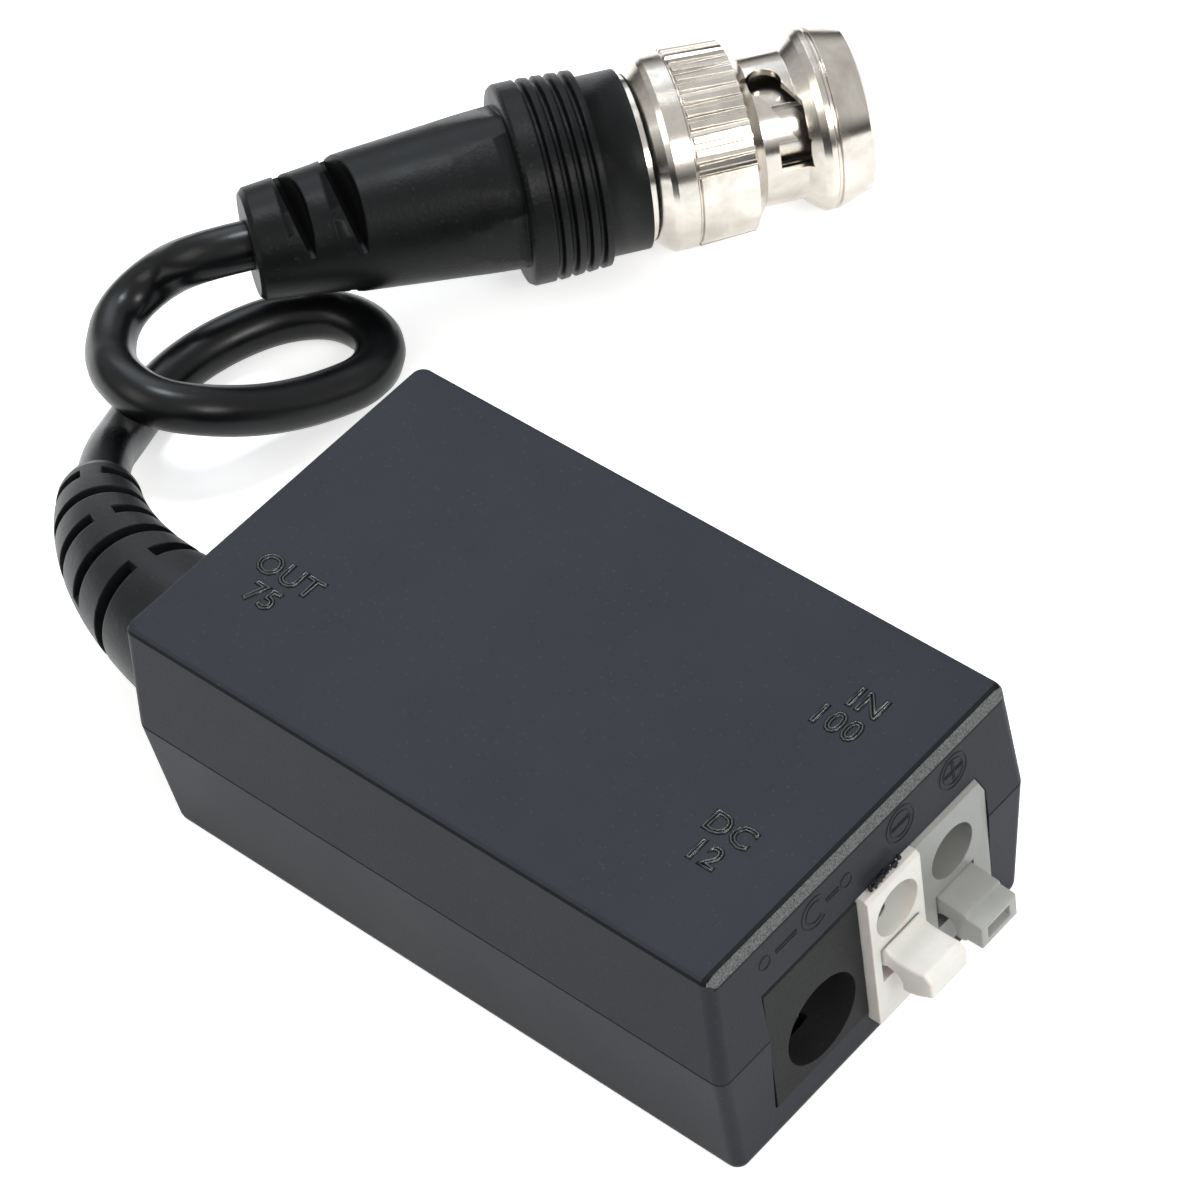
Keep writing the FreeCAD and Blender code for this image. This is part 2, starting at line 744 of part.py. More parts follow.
def make_power_socket():
    body = new_body("power_jack_housing")
    top = f"{BOARD_TOP} + jack_height"
    block = [
        (JACK_REAR, BOARD_TOP),
        (JACK_FRONT, BOARD_TOP),
        (JACK_FRONT, f"{top} - rim_bevel"),
        (f"{JACK_FRONT} - rim_bevel", top),
        (JACK_REAR, top),
    ]
    pad(body, outline(body, "XZ_Plane", "-(jack_side + jack_width / 2)", block), "jack_width")
    bore = [(JACK_BORE_Y, JACK_BORE_Z, "jack_bore_radius")]
    pocket(body, circles(body, "YZ_Plane", JACK_FRONT, bore), "jack_bore_depth")
    hole = [(JACK_BORE_Y, JACK_BORE_Z, "jack_pin_root + seat_gap")]
    pocket(body, circles(body, "YZ_Plane", JACK_FRONT, hole), "jack_length + 1")
    channel = span(f"{CONTACT_X} - 0.3", f"{JACK_FRONT} - 2.5", f"{BOARD_TOP} - 0.01", f"{BOARD_TOP} + 1.2")
    width = "(jack_contact_width + 2 * lead_gap)"
    start = f"-({JACK_BORE_Y} - {width} / 2)"
    pocket(body, outline(body, "XZ_Plane", start, channel), width)

    pin = new_body("power_jack_pin")
    tip, floor = "jack_length - jack_pin_setback", "jack_length - jack_bore_depth"
    shape = [
        ("0", "-strip"),
        ("jack_pin_root", "-strip"),
        ("jack_pin_root", floor),
        ("jack_pin_radius", floor),
        ("jack_pin_radius", f"{tip} - 0.4"),
        ("jack_pin_radius - 0.4", tip),
        ("0", tip),
    ]
    turned(pin, "Revolution", outline(pin, "XZ_Plane", "0", shape))
    blade = span("-1.3", f"{JACK_BORE_Z} - ({LEAD_END})", "-clamp_tail / 2", "clamp_tail / 2")
    pad(pin, outline(pin, "XY_Plane", "-strip", blade), "strip")
    pin.Placement.Rotation = FreeCAD.Rotation(FreeCAD.Vector(0, 1, 0), 90)
    bind(pin, **{
        "Placement.Base.x": JACK_REAR,
        "Placement.Base.y": JACK_BORE_Y,
        "Placement.Base.z": JACK_BORE_Z,
    })

    contact = new_body("power_jack_contact")
    low = [("0", "0"), ("5.4", "0"), ("7.4", "0.85"), ("8.4", "0.85"), ("9.6", "0.25")]
    leaf = [(f"{CONTACT_X} + {u}", f"{BOARD_TOP} + {v}") for u, v in low]
    leaf += [(u, f"{v} + strip") for u, v in reversed(leaf)]
    middle = f"-({JACK_BORE_Y})"
    pad(contact, outline(contact, "XZ_Plane", middle, leaf), "jack_contact_width", "Symmetric")
    tail = span(CONTACT_X, f"{CONTACT_X} + strip", LEAD_END, f"{BOARD_TOP} + strip / 2")
    pad(contact, outline(contact, "XZ_Plane", middle, tail), "jack_contact_width", "Symmetric")


# Lever terminals

def make_terminal(colour, flange):
    body = new_body(f"terminal_body_{colour}")
    place = TERMINALS[colour]
    face, middle, low, high = place["face"], place["middle"], place["low"], place["high"]
    apron = f"{BOARD_FRONT} + lead_gap"
    block = [
        (TERMINAL_REAR, BOARD_TOP),
        (apron, BOARD_TOP),
        (apron, TERMINAL_LOW),
        (face, TERMINAL_LOW),
        (face, f"{TERMINAL_TOP} - 0.25"),
        (f"{face} - 0.25", TERMINAL_TOP),
        (TERMINAL_REAR, TERMINAL_TOP),
    ]
    pad(body, outline(body, "XZ_Plane", f"-{high}", block), f"{high} - ({low})")
    if flange:
        rim = [
            (f"{high} - 0.2", BOARD_TOP),
            (f"{high} + grey_flange", BOARD_TOP),
            (f"{high} + grey_flange", f"{TERMINAL_TOP} - grey_flange_drop"),
            (high, f"{TERMINAL_TOP} - seat_gap"),
            (f"{high} - 0.2", f"{TERMINAL_TOP} - seat_gap"),
        ]
        pad(body, outline(body, "YZ_Plane", TERMINAL_REAR, rim), f"{face} - 0.2 - ({TERMINAL_REAR})")
    mouth = [(middle, place["hole"], "wire_hole_radius")]
    pocket(body, circles(body, "YZ_Plane", f"{face} + 1", mouth), "wire_hole_depth + 1")
    way = [(middle, place["hole"], "wire_way_radius")]
    pocket(body, circles(body, "YZ_Plane", face, way), f"{face} - ({CLAMP_X})")
    half = "(lever_width / 2 + lever_gap)"
    rear = f"{face} - pivot_inset - lever_arm - 0.4"
    lever = place["lever"]
    channel = [
        (rear, f"{lever} - 3"),
        (f"{face} + 1", f"{lever} - 3"),
        (f"{face} + 1", f"{lever} + lever_gap"),
        (f"{face} - 1.3", f"{lever} + lever_gap"),
        (f"{face} - 1.8", f"{lever} + 0.6"),
        (rear, f"{lever} + 0.6"),
    ]
    start = f"-({middle} - {half})"
    pocket(body, outline(body, "XZ_Plane", start, channel), f"2 * {half}")
    chamber = span(f"{CLAMP_X} - 0.4", f"{CLAMP_X} + clamp_reach + 0.2", f"{BOARD_TOP} - 0.01",
                   f"{place['hole']} + wire_way_radius")
    pocket(body, outline(body, "XZ_Plane", start, chamber), f"2 * {half}")
    pivot = [(f"{face} - pivot_inset", f"{lever} - pivot_drop", "pivot_radius + pivot_gap")]
    reach = "(lever_width / 2 + trunnion + seat_gap)"
    pocket(body, circles(body, "XZ_Plane", f"-({middle} - {reach})", pivot), f"2 * {reach}")


def make_lever(colour, end_pocket):
    body = new_body(f"lever_{colour}")
    place = TERMINALS[colour]
    face, middle, top, reach = place["face"], place["middle"], place["lever"], place["reach"]
    side = [
        ("-pivot_inset - lever_arm", "-1.5"),
        ("-pivot_inset - 0.6", "-1.65"),
        ("0", "-1.65"),
        ("0.25", "-1.5"),
        ("0.75", "-1.5"),
        ("1.15", "-1.85"),
        ("1.3", "-2.35"),
        ("1.3", "-2.95"),
        ("1.95", "-2.95"),
        ("2.2", "-2.65"),
        (reach, "-2.65"),
        (reach, "-0.75"),
        (f"{reach} - 0.1", "-0.65"),
        ("2.25", "-0.55"),
        ("2.15", "-0.3"),
        ("0", "0"),
        ("-pivot_inset - 0.9", "0"),
        ("-pivot_inset - 1.3", "-0.7"),
        ("-pivot_inset - lever_arm", "-0.8"),
    ]
    if not end_pocket:
        side[8:15] = [
            ("2.6", "-2.75"),
            (reach, "-2.35"),
            (reach, "-0.55"),
            (f"{reach} - 0.5", "0.05"),
            ("1.6", "0.1"),
        ]
    profile = [(f"{face} + ({u})", f"{top} + ({v})") for u, v in side]
    pad(body, outline(body, "XZ_Plane", f"-{middle}", profile), "lever_width", "Symmetric")
    pivot = [(f"{face} - pivot_inset", f"{top} - pivot_drop", "pivot_radius")]
    pad(body, circles(body, "XZ_Plane", f"-{middle}", pivot), "lever_width + 2 * trunnion", "Symmetric")
    if end_pocket:
        hollow = span(f"{middle} - 1.1", f"{middle} + 1.1", f"{top} - 2.2", f"{top} - 1.15")
        pocket(body, outline(body, "YZ_Plane", f"{face} + {reach}", hollow), "0.7")


def make_clamp(colour):
    body = new_body(f"terminal_clamp_{colour}")
    place = TERMINALS[colour]
    middle, arm = place["middle"], f"{place['lever']} + 1.3"
    leaf = [
        (CLAMP_X, BOARD_TOP),
        (f"{CLAMP_X} + 1.6", BOARD_TOP),
        (f"{CLAMP_X} + 1.6", f"{BOARD_TOP} + strip"),
        (f"{CLAMP_X} + strip", f"{BOARD_TOP} + strip"),
        (f"{CLAMP_X} + strip", arm),
        (f"{CLAMP_X} + clamp_reach", f"{arm} + 0.25"),
        (f"{CLAMP_X} + clamp_reach", f"{arm} + 0.25 + strip"),
        (CLAMP_X, f"{arm} + strip"),
    ]
    pad(body, outline(body, "XZ_Plane", f"-{middle}", leaf), "clamp_width", "Symmetric")
    tail = span(CLAMP_X, f"{CLAMP_X} + strip", LEAD_END, f"{BOARD_TOP} + strip / 2")
    pad(body, outline(body, "XZ_Plane", f"-{middle}", tail), "clamp_tail", "Symmetric")


# Strain relief, cable and leads

def relief_spot(distance):
    """Middle and heading of the bent strain relief at a distance from the case."""
    droop = math.radians(size("relief_droop"))
    sideways = FreeCAD.Vector(0, math.cos(droop), -math.sin(droop))
    outward = FreeCAD.Vector(-1, 0, 0)
    turn = math.radians(size("relief_turn")) * distance / size("relief_length")
    radius = size("relief_length") / math.radians(size("relief_turn"))
    start = FreeCAD.Vector(-size(END) - 0.01, size(RELIEF_Y), size("parting_height"))
    spot = start + outward * (radius * math.sin(turn)) + sideways * (radius * (1 - math.cos(turn)))
    return spot, outward * math.cos(turn) + sideways * math.sin(turn)


def relief_ring(distance, radius):
    spot, heading = relief_spot(distance)
    return Part.Wire(Part.Circle(spot, heading, radius).toShape())


def relief_slots(distance, sideways):
    """Two arc-shaped slots with webs between them, above and below or at the sides."""
    spot, heading = relief_spot(distance)
    up = FreeCAD.Vector(0, 0, 1)
    across = heading.cross(up).normalize()
    width, web, beyond = size("relief_slot"), size("relief_web"), 1.5 * size("relief_base_radius")
    low = FreeCAD.Vector(0, 0, -width / 2)
    ring = Part.makeCylinder(beyond, width, low)
    ring = ring.cut(Part.makeCylinder(size("relief_core_radius"), width, low))
    ring = ring.cut(Part.makeBox(web, 2 * beyond, width, FreeCAD.Vector(-web / 2, -beyond, -width / 2)))
    high = across.cross(heading).normalize()
    first, second = (high, across) if sideways else (across, high)
    ring.Placement = FreeCAD.Placement(spot, FreeCAD.Rotation(first, second, heading, "ZXY"))
    return ring


def make_relief():
    length, shoulder = size("relief_length"), size("relief_length - relief_dome")
    wide, narrow = size("relief_base_radius"), size("relief_shoulder_radius")
    steps = 6
    rings = []
    for k in range(steps + 1):
        share = k / steps
        rings.append(relief_ring(shoulder * share, wide + (narrow - wide) * share))
    solid = Part.makeLoft(rings, True, False)
    dome = [(shoulder, narrow), (shoulder + 0.9, narrow - 0.3), (length, narrow - 0.95)]
    for (near, wider), (far, finer) in zip(dome, dome[1:]):
        solid = solid.fuse(Part.makeLoft([relief_ring(near, wider), relief_ring(far, finer)], True, True))
    for k in range(int(size("relief_slot_rows"))):
        distance = length - size("relief_slot_first") - k * size("relief_slot_pitch")
        solid = solid.cut(relief_slots(distance, k % 2 == 1))
    root, outward = relief_spot(0)
    inside = size(INNER_X) - 0.35
    neck = Part.makeCylinder(size("relief_neck_radius"), size(END) - inside + 0.5,
                             FreeCAD.Vector(-inside, root.y, root.z), outward)
    thick = size("relief_inner_thick")
    flange = Part.makeCylinder(size("relief_inner_radius"), thick,
                               FreeCAD.Vector(thick - inside, root.y, root.z), outward)
    shaped("strain_relief", solid.fuse([neck, flange]).removeSplitter())


def plug_axes():
    """The plug's sideways, upward and forward directions."""
    yaw, droop = math.radians(size("plug_yaw")), math.radians(size("plug_droop"))
    forward = FreeCAD.Vector(math.cos(droop) * math.cos(yaw), math.cos(droop) * math.sin(yaw),
                             -math.sin(droop))
    across = FreeCAD.Vector(-math.sin(yaw), math.cos(yaw), 0)
    return across, forward.cross(across), forward


# Middle line of the cable between the strain relief and the plug
CABLE_BENDS = [
    (-50.2, 7.3, 2.9),
    (-52.0, 11.2, 1.9),
    (-52.5, 15.5, 1.9),
    (-51.6, 19.8, 1.9),
    (-49.7, 23.6, 1.9),
    (-46.4, 26.2, 1.9),
    (-42.1, 26.0, 1.9),
    (-39.8, 22.6, 2.2),
    (-41.0, 18.4, 2.8),
    (-42.4, 14.6, 4.0),
    (-44.1, 11.1, 5.8),
    (-47.3, 8.5, 6.9),
    (-51.3, 8.9, 6.9),
    (-54.8, 11.2, 5.6),
    (-57.2, 14.7, 5.5),
    (-56.2, 18.4, 6.9),
]


def tube_piece(label, points, radius):
    solid, length, radii = tube(points, radius)
    shaped(label, solid)
    section = math.pi * radius * radius * length
    print(f"{label}: length {length:.1f}, volume {solid.Volume:.1f} of {section:.1f}, "
          f"bend radii {', '.join(f'{bend:.1f}' for bend in radii)}")


def make_cables():
    tip, heading = relief_spot(size("relief_length"))
    tail = FreeCAD.Vector(size("plug_x"), size("plug_y"), size("plug_z"))
    route = [tip, tip + heading * 4.5] + CABLE_BENDS + [tail - plug_axes()[2] * 3.3, tail]
    tube_piece("cable", [tuple(point) for point in route], size("cable_radius"))
    root = relief_spot(0)[0]
    inside = -size(INNER_X) + 0.35 + size("relief_inner_thick")
    stub = Part.makeCylinder(size("cable_radius"), size("cable_tail"),
                             FreeCAD.Vector(inside, root.y, root.z), FreeCAD.Vector(1, 0, 0))
    shaped("cable_tail", stub)
    end = inside + size("cable_tail")
    board = size(BOARD_TOP)
    beside = size("inner_lead_side")
    for label, side, ahead, spread in (("signal_lead", beside, 3.3, 2.3), ("shield_lead", -beside, 2.7, -1.6)):
        bends = [
            (end, root.y + side, root.z),
            (end + 1.8, root.y + side, root.z),
            (end + ahead, root.y + spread, root.z - 3.2),
            (end + ahead, root.y + spread, board),
        ]
        tube_piece(label, bends, size("inner_lead_radius"))


# Plug. Each piece is drawn about its own Z axis, measured from the boot's tail.

def set_on_plug(body):
    across, upward, forward = plug_axes()
    body.Placement.Rotation = FreeCAD.Rotation(across, upward, forward, "ZXY")
    bind(body, **{
        "Placement.Base.x": "plug_x",
        "Placement.Base.y": "plug_y",
        "Placement.Base.z": "plug_z",
    })


def turned_piece(label, profile):
    body = new_body(label)
    turned(body, "Revolution", outline(body, "XZ_Plane", "0", profile))
    set_on_plug(body)
    return body


# Stations along the plug
FIRST_SLOT = "tail_ring"
SECOND_RING = "tail_ring + tail_slot"
SECOND_SLOT = f"{SECOND_RING} + second_ring"
TAPER = f"{SECOND_SLOT} + second_slot"
COLLAR = f"{TAPER} + boot_taper_length"
RIBS = f"{COLLAR} + collar_flange"
NOSE = f"{RIBS} + collar_rib_count * collar_rib_pitch"
BOOT_END = f"{NOSE} + nose_length"
SHANK = f"{BOOT_END} - shank_length"
BARREL = f"{SHANK} - barrel_length"
SEAT = f"{BOOT_END} + rear_flange"
RING = f"{SEAT} + seat_length"
RING_END = f"{RING} + ring_length"
CONTACT_END = f"{RING_END} + contact_length"
INSULATOR = f"{SEAT} + insulator_inset"
PIN_ROOT = f"{SHANK} + pin_root_inset"
SLEEVE = f"{SEAT} + running_gap"
LIP_END = f"{SLEEVE} + sleeve_lip"
WASHER = f"{LIP_END} + running_gap"
CAVITY_END = f"{RING_END} + gasket_thick + 0.5"
SLEEVE_END = f"{CONTACT_END} + sleeve_hood"
NECK_END = f"{SLEEVE_END} - front_ring_length"
KNURL = f"{SLEEVE} + knurl_inset"
KNURL_END = f"{KNURL} + knurl_length"

# Radii that fit one another
RING_RADIUS = "seat_radius - ring_step + ring_width"
CAVITY_RADIUS = f"{RING_RADIUS} + sleeve_room"
BAND_RADIUS = f"{CAVITY_RADIUS} + sleeve_wall"
CONTACT_BORE = "contact_radius - contact_wall"
SLEEVE_BORE = "contact_radius + socket_room"
NECK_RADIUS = f"{SLEEVE_BORE} + neck_wall"


def turn_sketch(sketch, axis, angle):
    offset = sketch.AttachmentOffset
    offset.Rotation = FreeCAD.Rotation(FreeCAD.Vector(*axis), size(angle))
    sketch.AttachmentOffset = offset


def make_boot():
    profile = [
        ("0", "0"),
        ("tail_radius - 0.35", "0"),
        ("tail_radius", "0.35"),
        ("tail_radius + 0.2", FIRST_SLOT),
        ("tail_radius + 0.3", SECOND_RING),
        ("second_radius", SECOND_SLOT),
        ("taper_start_radius", TAPER),
        ("taper_end_radius", COLLAR),
        ("collar_radius - 0.2", COLLAR),
        ("collar_radius", f"{COLLAR} + 0.3"),
    ]
    for k in range(int(size("collar_rib_count"))):
        base = f"{RIBS} + {k} * collar_rib_pitch"
        profile += [
            (f"collar_radius - {k} * 0.05", base),
            (f"collar_radius - collar_rib_depth - {k} * 0.05", f"{base} + 0.15"),
            (f"collar_radius - collar_rib_depth - {k} * 0.05", f"{base} + 0.4"),
            (f"collar_radius - {k} * 0.05", f"{base} + 0.55"),
        ]
    profile += [
        ("collar_radius - 0.2", NOSE),
        ("nose_radius", NOSE),
        ("nose_radius", BOOT_END),
        ("0", BOOT_END),
    ]
    boot = turned_piece("plug_boot", profile)
    around_barrel = "barrel_radius + ferrule_wall + 2 * seat_gap"
    hollow = [
        ("0", f"{BARREL} - 0.5"),
        (around_barrel, f"{BARREL} - 0.5"),
        (around_barrel, SHANK),
        ("shank_radius + seat_gap", SHANK),
        ("shank_radius + seat_gap", f"{BOOT_END} + 1"),
        ("0", f"{BOOT_END} + 1"),
    ]
    turned(boot, "Groove", outline(boot, "XZ_Plane", "0", hollow))
    slots = []
    for near, far in ((FIRST_SLOT, SECOND_RING), (SECOND_SLOT, TAPER)):
        slot = outline(boot, "YZ_Plane", "0", [
            ("boot_slot_core", f"{near} + boot_slot_slope"),
            ("taper_end_radius", f"{near} - 0.05"),
            ("taper_end_radius", f"{far} + 0.05"),
            ("boot_slot_core", f"{far} - boot_slot_slope"),
        ])
        turn_sketch(slot, (0, 1, 0), "boot_slot_lean")
        slots.append(pocket(boot, slot, "4 * tail_radius", "Symmetric"))
    around(boot, slots, "2")
    petal = outline(boot, "XY_Plane", COLLAR,
                    span("taper_end_radius - petal_depth", "collar_radius + 1", "-3.6", "3.6"))
    around(boot, [pocket(boot, petal, "boot_taper_length - 0.5")], "petal_count")


def make_plug_body():
    ring_seat = "seat_radius - ring_step"
    wall = [
        ("barrel_bore", BARREL),
        ("barrel_radius", BARREL),
        ("barrel_radius", SHANK),
        ("shank_radius", SHANK),
        ("shank_radius", BOOT_END),
        ("rear_flange_radius", BOOT_END),
        ("rear_flange_radius", SEAT),
        ("seat_radius", SEAT),
        ("seat_radius", RING),
        (ring_seat, RING),
        (ring_seat, RING_END),
        ("contact_radius", RING_END),
        ("contact_radius", f"{CONTACT_END} - 0.5"),
        ("contact_radius - 0.25", CONTACT_END),
        (CONTACT_BORE, CONTACT_END),
        (CONTACT_BORE, INSULATOR),
        ("shank_bore", INSULATOR),
        ("shank_bore", SHANK),
        ("barrel_bore", SHANK),
    ]
    body = turned_piece("plug_body", wall)
    cutter = outline(body, "YZ_Plane", "0", span("-contact_slot / 2", "contact_slot / 2",
                                                 f"{CONTACT_END} - contact_slot_length",
                                                 f"{CONTACT_END} + 1"))
    slit = pocket(body, cutter, "contact_radius + 1", reverse=True)
    around(body, [slit], "contact_slot_count")


def make_plug_inside():
    ferrule = "barrel_radius + seat_gap"
    turned_piece("crimp_ferrule", span(ferrule, f"{ferrule} + ferrule_wall", BARREL, SHANK))
    turned_piece("cable_core", span("0", "barrel_bore - seat_gap", f"{BARREL} - 0.5", PIN_ROOT))
    turned_piece("retaining_ring", span("seat_radius - ring_step + seat_gap", RING_RADIUS, RING, RING_END))
    turned_piece("thrust_washer", span("seat_radius + running_gap", RING_RADIUS, WASHER,
                                       f"{WASHER} + washer_thick"))
    turned_piece("gasket", span("contact_radius + seat_gap", f"{SLEEVE_BORE} - 2 * seat_gap", RING_END,
                                f"{RING_END} + gasket_thick"))
    tube_radius = f"{CONTACT_BORE} - seat_gap"
    turned_piece("plug_insulator", [
        ("pin_radius + seat_gap", INSULATOR),
        (tube_radius, INSULATOR),
        (tube_radius, f"{CONTACT_END} - insulator_recess"),
        (f"{tube_radius} - insulator_wall", f"{CONTACT_END} - insulator_recess"),
        (f"{tube_radius} - insulator_wall", f"{INSULATOR} + insulator_base"),
        ("pin_radius + seat_gap", f"{INSULATOR} + insulator_base"),
    ])
    turned_piece("centre_pin", [
        ("0", PIN_ROOT),
        ("pin_root_radius", PIN_ROOT),
        ("pin_root_radius", INSULATOR),
        ("pin_radius", INSULATOR),
        ("pin_radius", f"{CONTACT_END} - pin_recess - pin_cone"),
        ("0.2", f"{CONTACT_END} - pin_recess"),
        ("0", f"{CONTACT_END} - pin_recess"),
    ])


def make_spring():
    """A washer of thin strip that waves up and down as it goes round."""
    low = size(f"{WASHER} + washer_thick + running_gap")
    high = size(f"{RING} - running_gap")
    thick, waves = size("spring_strip"), int(size("spring_waves"))
    near, far = size("seat_radius + 0.15"), size(f"{RING_RADIUS} - 0.1")
    steps = 8 * waves
    sections = []
    for k in range(steps):
        angle = 2 * math.pi * k / steps
        middle = (low + high) / 2 + (high - low - thick) / 2 * math.cos(waves * angle)
        corners = [(near, -1), (far, -1), (far, 1), (near, 1), (near, -1)]
        sections.append(Part.makePolygon([
            FreeCAD.Vector(radius * math.cos(angle), radius * math.sin(angle), middle + side * thick / 2)
            for radius, side in corners
        ]))
    solid = Part.makeLoft(sections, True, False, True)
    if solid.Volume < 0:
        solid.reverse()
    set_on_plug(shaped("spring_washer", solid))


def make_sleeve():
    rim, front = f"{BAND_RADIUS} + knurl_depth", f"{SLEEVE_END} - front_taper"
    profile = [
        ("seat_radius + running_gap", SLEEVE),
        (f"{rim} - 1.1", SLEEVE),
        (f"{rim} - 0.25", f"{SLEEVE} + 0.9"),
        (rim, f"{SLEEVE} + 1.3"),
        (rim, f"{KNURL} - 0.3"),
        (f"{rim} - 0.2", f"{KNURL} - 0.2"),
        (f"{rim} - 0.2", f"{KNURL} - 0.1"),
        (rim, KNURL),
        (f"{rim} - knurl_taper", KNURL_END),
        (f"{NECK_RADIUS} + 0.3", f"{KNURL_END} + 0.8"),
        (NECK_RADIUS, f"{KNURL_END} + 1.0"),
        (NECK_RADIUS, NECK_END),
        ("front_ring_radius - 0.35", f"{NECK_END} + 1.0"),
        ("front_ring_radius", f"{NECK_END} + 1.5"),
        ("front_ring_radius", f"{front} - 0.4"),
        ("front_ring_radius - 0.2", f"{front} - 0.3"),
        ("front_ring_radius - 0.2", f"{front} - 0.1"),
        ("front_ring_radius", front),
        ("front_ring_radius - front_drop", f"{SLEEVE_END} - 0.2"),
        ("front_ring_radius - front_drop - 0.2", SLEEVE_END),
        (f"{SLEEVE_BORE} + 0.4", SLEEVE_END),
        (SLEEVE_BORE, f"{SLEEVE_END} - 0.4"),
        (SLEEVE_BORE, CAVITY_END),
        (CAVITY_RADIUS, CAVITY_END),
        (CAVITY_RADIUS, LIP_END),
        ("seat_radius + running_gap", LIP_END),
    ]
    sleeve = turned_piece("coupling_sleeve", profile)
    turn = FreeCAD.Rotation(FreeCAD.Vector(0, 0, 1), size("sleeve_rest_turn"))
    sleeve.Placement.Rotation = sleeve.Placement.Rotation.multiply(turn)
    # grip: straight grooves, with one smooth stretch between the last and the first
    groove = outline(sleeve, "XY_Plane", f"{KNURL} - 0.1", [
        (f"{rim} - knurl_depth", "-0.16"),
        (f"{rim} + 0.1", "-0.36"),
        (f"{rim} + 0.1", "0.36"),
        (f"{rim} - knurl_depth", "0.16"),
    ])
    turn_sketch(groove, (0, 0, 1), "knurl_start")
    grooves = pocket(sleeve, groove, "knurl_length + 0.6", reverse=True)
    around(sleeve, [grooves], "knurl_count", "knurl_pitch * (knurl_count - 1)")
    # bayonet slots: straight way in, cam up to the locking hole
    cam = f"{SLEEVE_END} - cam_inset"
    lock = f"{cam} - cam_rise"
    depth = f"{NECK_RADIUS} + lug_play"
    entry = outline(sleeve, "YZ_Plane", "0",
                    span("-lug_radius", "lug_radius", lock, f"{SLEEVE_END} + 1"))
    turn_sketch(entry, (0, 1, 0), "cam_turn")
    around(sleeve, [pocket(sleeve, entry, depth, reverse=True)], "2")
    hole = circles(sleeve, "YZ_Plane", "0", [("0", lock, "lug_radius + lug_play")])
    around(sleeve, [pocket(sleeve, hole, depth, reverse=True)], "2")
    rise = outline(sleeve, "XZ_Plane", "0",
                   span(f"{SLEEVE_BORE} - 0.4", depth, f"{lock} - lug_radius", f"{lock} + lug_radius"))
    helix = sleeve.newObject("PartDesign::SubtractiveHelix", "SubtractiveHelix")
    helix.Profile = rise
    helix.ReferenceAxis = (rise, ["V_Axis"])
    helix.Mode = "pitch-height-angle"
    bind(helix, Pitch="cam_rise / cam_turn * 360", Height="cam_rise")
    around(sleeve, [helix], "2")


make_bottom_cover()
make_top_cover()
make_board()
make_electronics()
make_power_socket()
for shade, with_extra in (("white", False), ("grey", True)):
    make_terminal(shade, with_extra)
    make_lever(shade, with_extra)
    make_clamp(shade)
make_relief()
make_cables()
make_boot()
make_plug_body()
make_plug_inside()
make_spring()
make_sleeve()

doc.recompute()
faults = [f"{thing.Label}: {thing.State}" for thing in doc.Objects
          if "Invalid" in thing.State or "Error" in thing.State]
for solid in PIECES:
    if solid.Shape.isNull() or not solid.Shape.isValid() or solid.Shape.Volume <= 0:
        faults.append(f"{solid.Label}: no sound shape")
if faults:
    raise RuntimeError("; ".join(faults))
os.makedirs("parts", exist_ok=True)
for solid in PIECES:
    solid.Shape.exportStep(f"parts/{solid.Label}.step")
    room = solid.Shape.BoundBox
    print(f"{solid.Label}: volume {solid.Shape.Volume:.1f}, x {room.XMin:.2f} to {room.XMax:.2f}, "
          f"y {room.YMin:.2f} to {room.YMax:.2f}, z {room.ZMin:.2f} to {room.ZMax:.2f}")
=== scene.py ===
import math

import bmesh
import bpy
from mathutils import Matrix, Vector, noise
from mathutils.bvhtree import BVHTree


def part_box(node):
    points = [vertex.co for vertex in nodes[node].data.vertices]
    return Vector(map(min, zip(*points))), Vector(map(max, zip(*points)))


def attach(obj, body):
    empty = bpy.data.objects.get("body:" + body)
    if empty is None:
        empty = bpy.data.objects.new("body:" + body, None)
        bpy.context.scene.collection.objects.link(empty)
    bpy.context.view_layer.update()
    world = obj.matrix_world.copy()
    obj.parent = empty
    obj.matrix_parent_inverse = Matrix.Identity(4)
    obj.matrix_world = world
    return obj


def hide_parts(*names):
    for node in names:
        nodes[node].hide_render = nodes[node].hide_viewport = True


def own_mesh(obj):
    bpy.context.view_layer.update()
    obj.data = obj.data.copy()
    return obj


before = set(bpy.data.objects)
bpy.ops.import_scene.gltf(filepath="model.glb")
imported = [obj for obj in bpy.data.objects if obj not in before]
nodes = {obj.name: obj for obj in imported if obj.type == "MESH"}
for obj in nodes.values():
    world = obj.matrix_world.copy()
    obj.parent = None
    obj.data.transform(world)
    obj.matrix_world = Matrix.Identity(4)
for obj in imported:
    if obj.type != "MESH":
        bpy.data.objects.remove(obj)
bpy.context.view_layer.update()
scene = bpy.context.scene
mm = 0.001
print("frame loaded:", len(nodes), "nodes")


# Camera: the picture's own viewing angle

cameraSetup = {
    "place": (0.14713, -0.12846, 0.23631),
    "turn": 47.9026,      # degrees about the vertical
    "tilt": 47.4488,      # degrees below the horizon
    "roll": -9.5394,
    "lens": 140.36,
    "sensor": 36,
    "near": 0.01,         # nearest distance it sees, in m
}


def makeCamera(setup):
    camera = bpy.data.objects.new("camera", bpy.data.cameras.new("camera"))
    scene.collection.objects.link(camera)
    camera.data.lens = setup["lens"]
    camera.data.sensor_width = setup["sensor"]
    camera.data.clip_start = setup["near"]
    turn = (
        Matrix.Rotation(math.radians(setup["turn"]), 4, "Z")
        @ Matrix.Rotation(math.radians(90 - setup["tilt"]), 4, "X")
        @ Matrix.Rotation(math.radians(setup["roll"]), 4, "Z")
    )
    camera.matrix_world = Matrix.Translation(setup["place"]) @ turn
    scene.camera = camera


makeCamera(cameraSetup)


# Node helpers

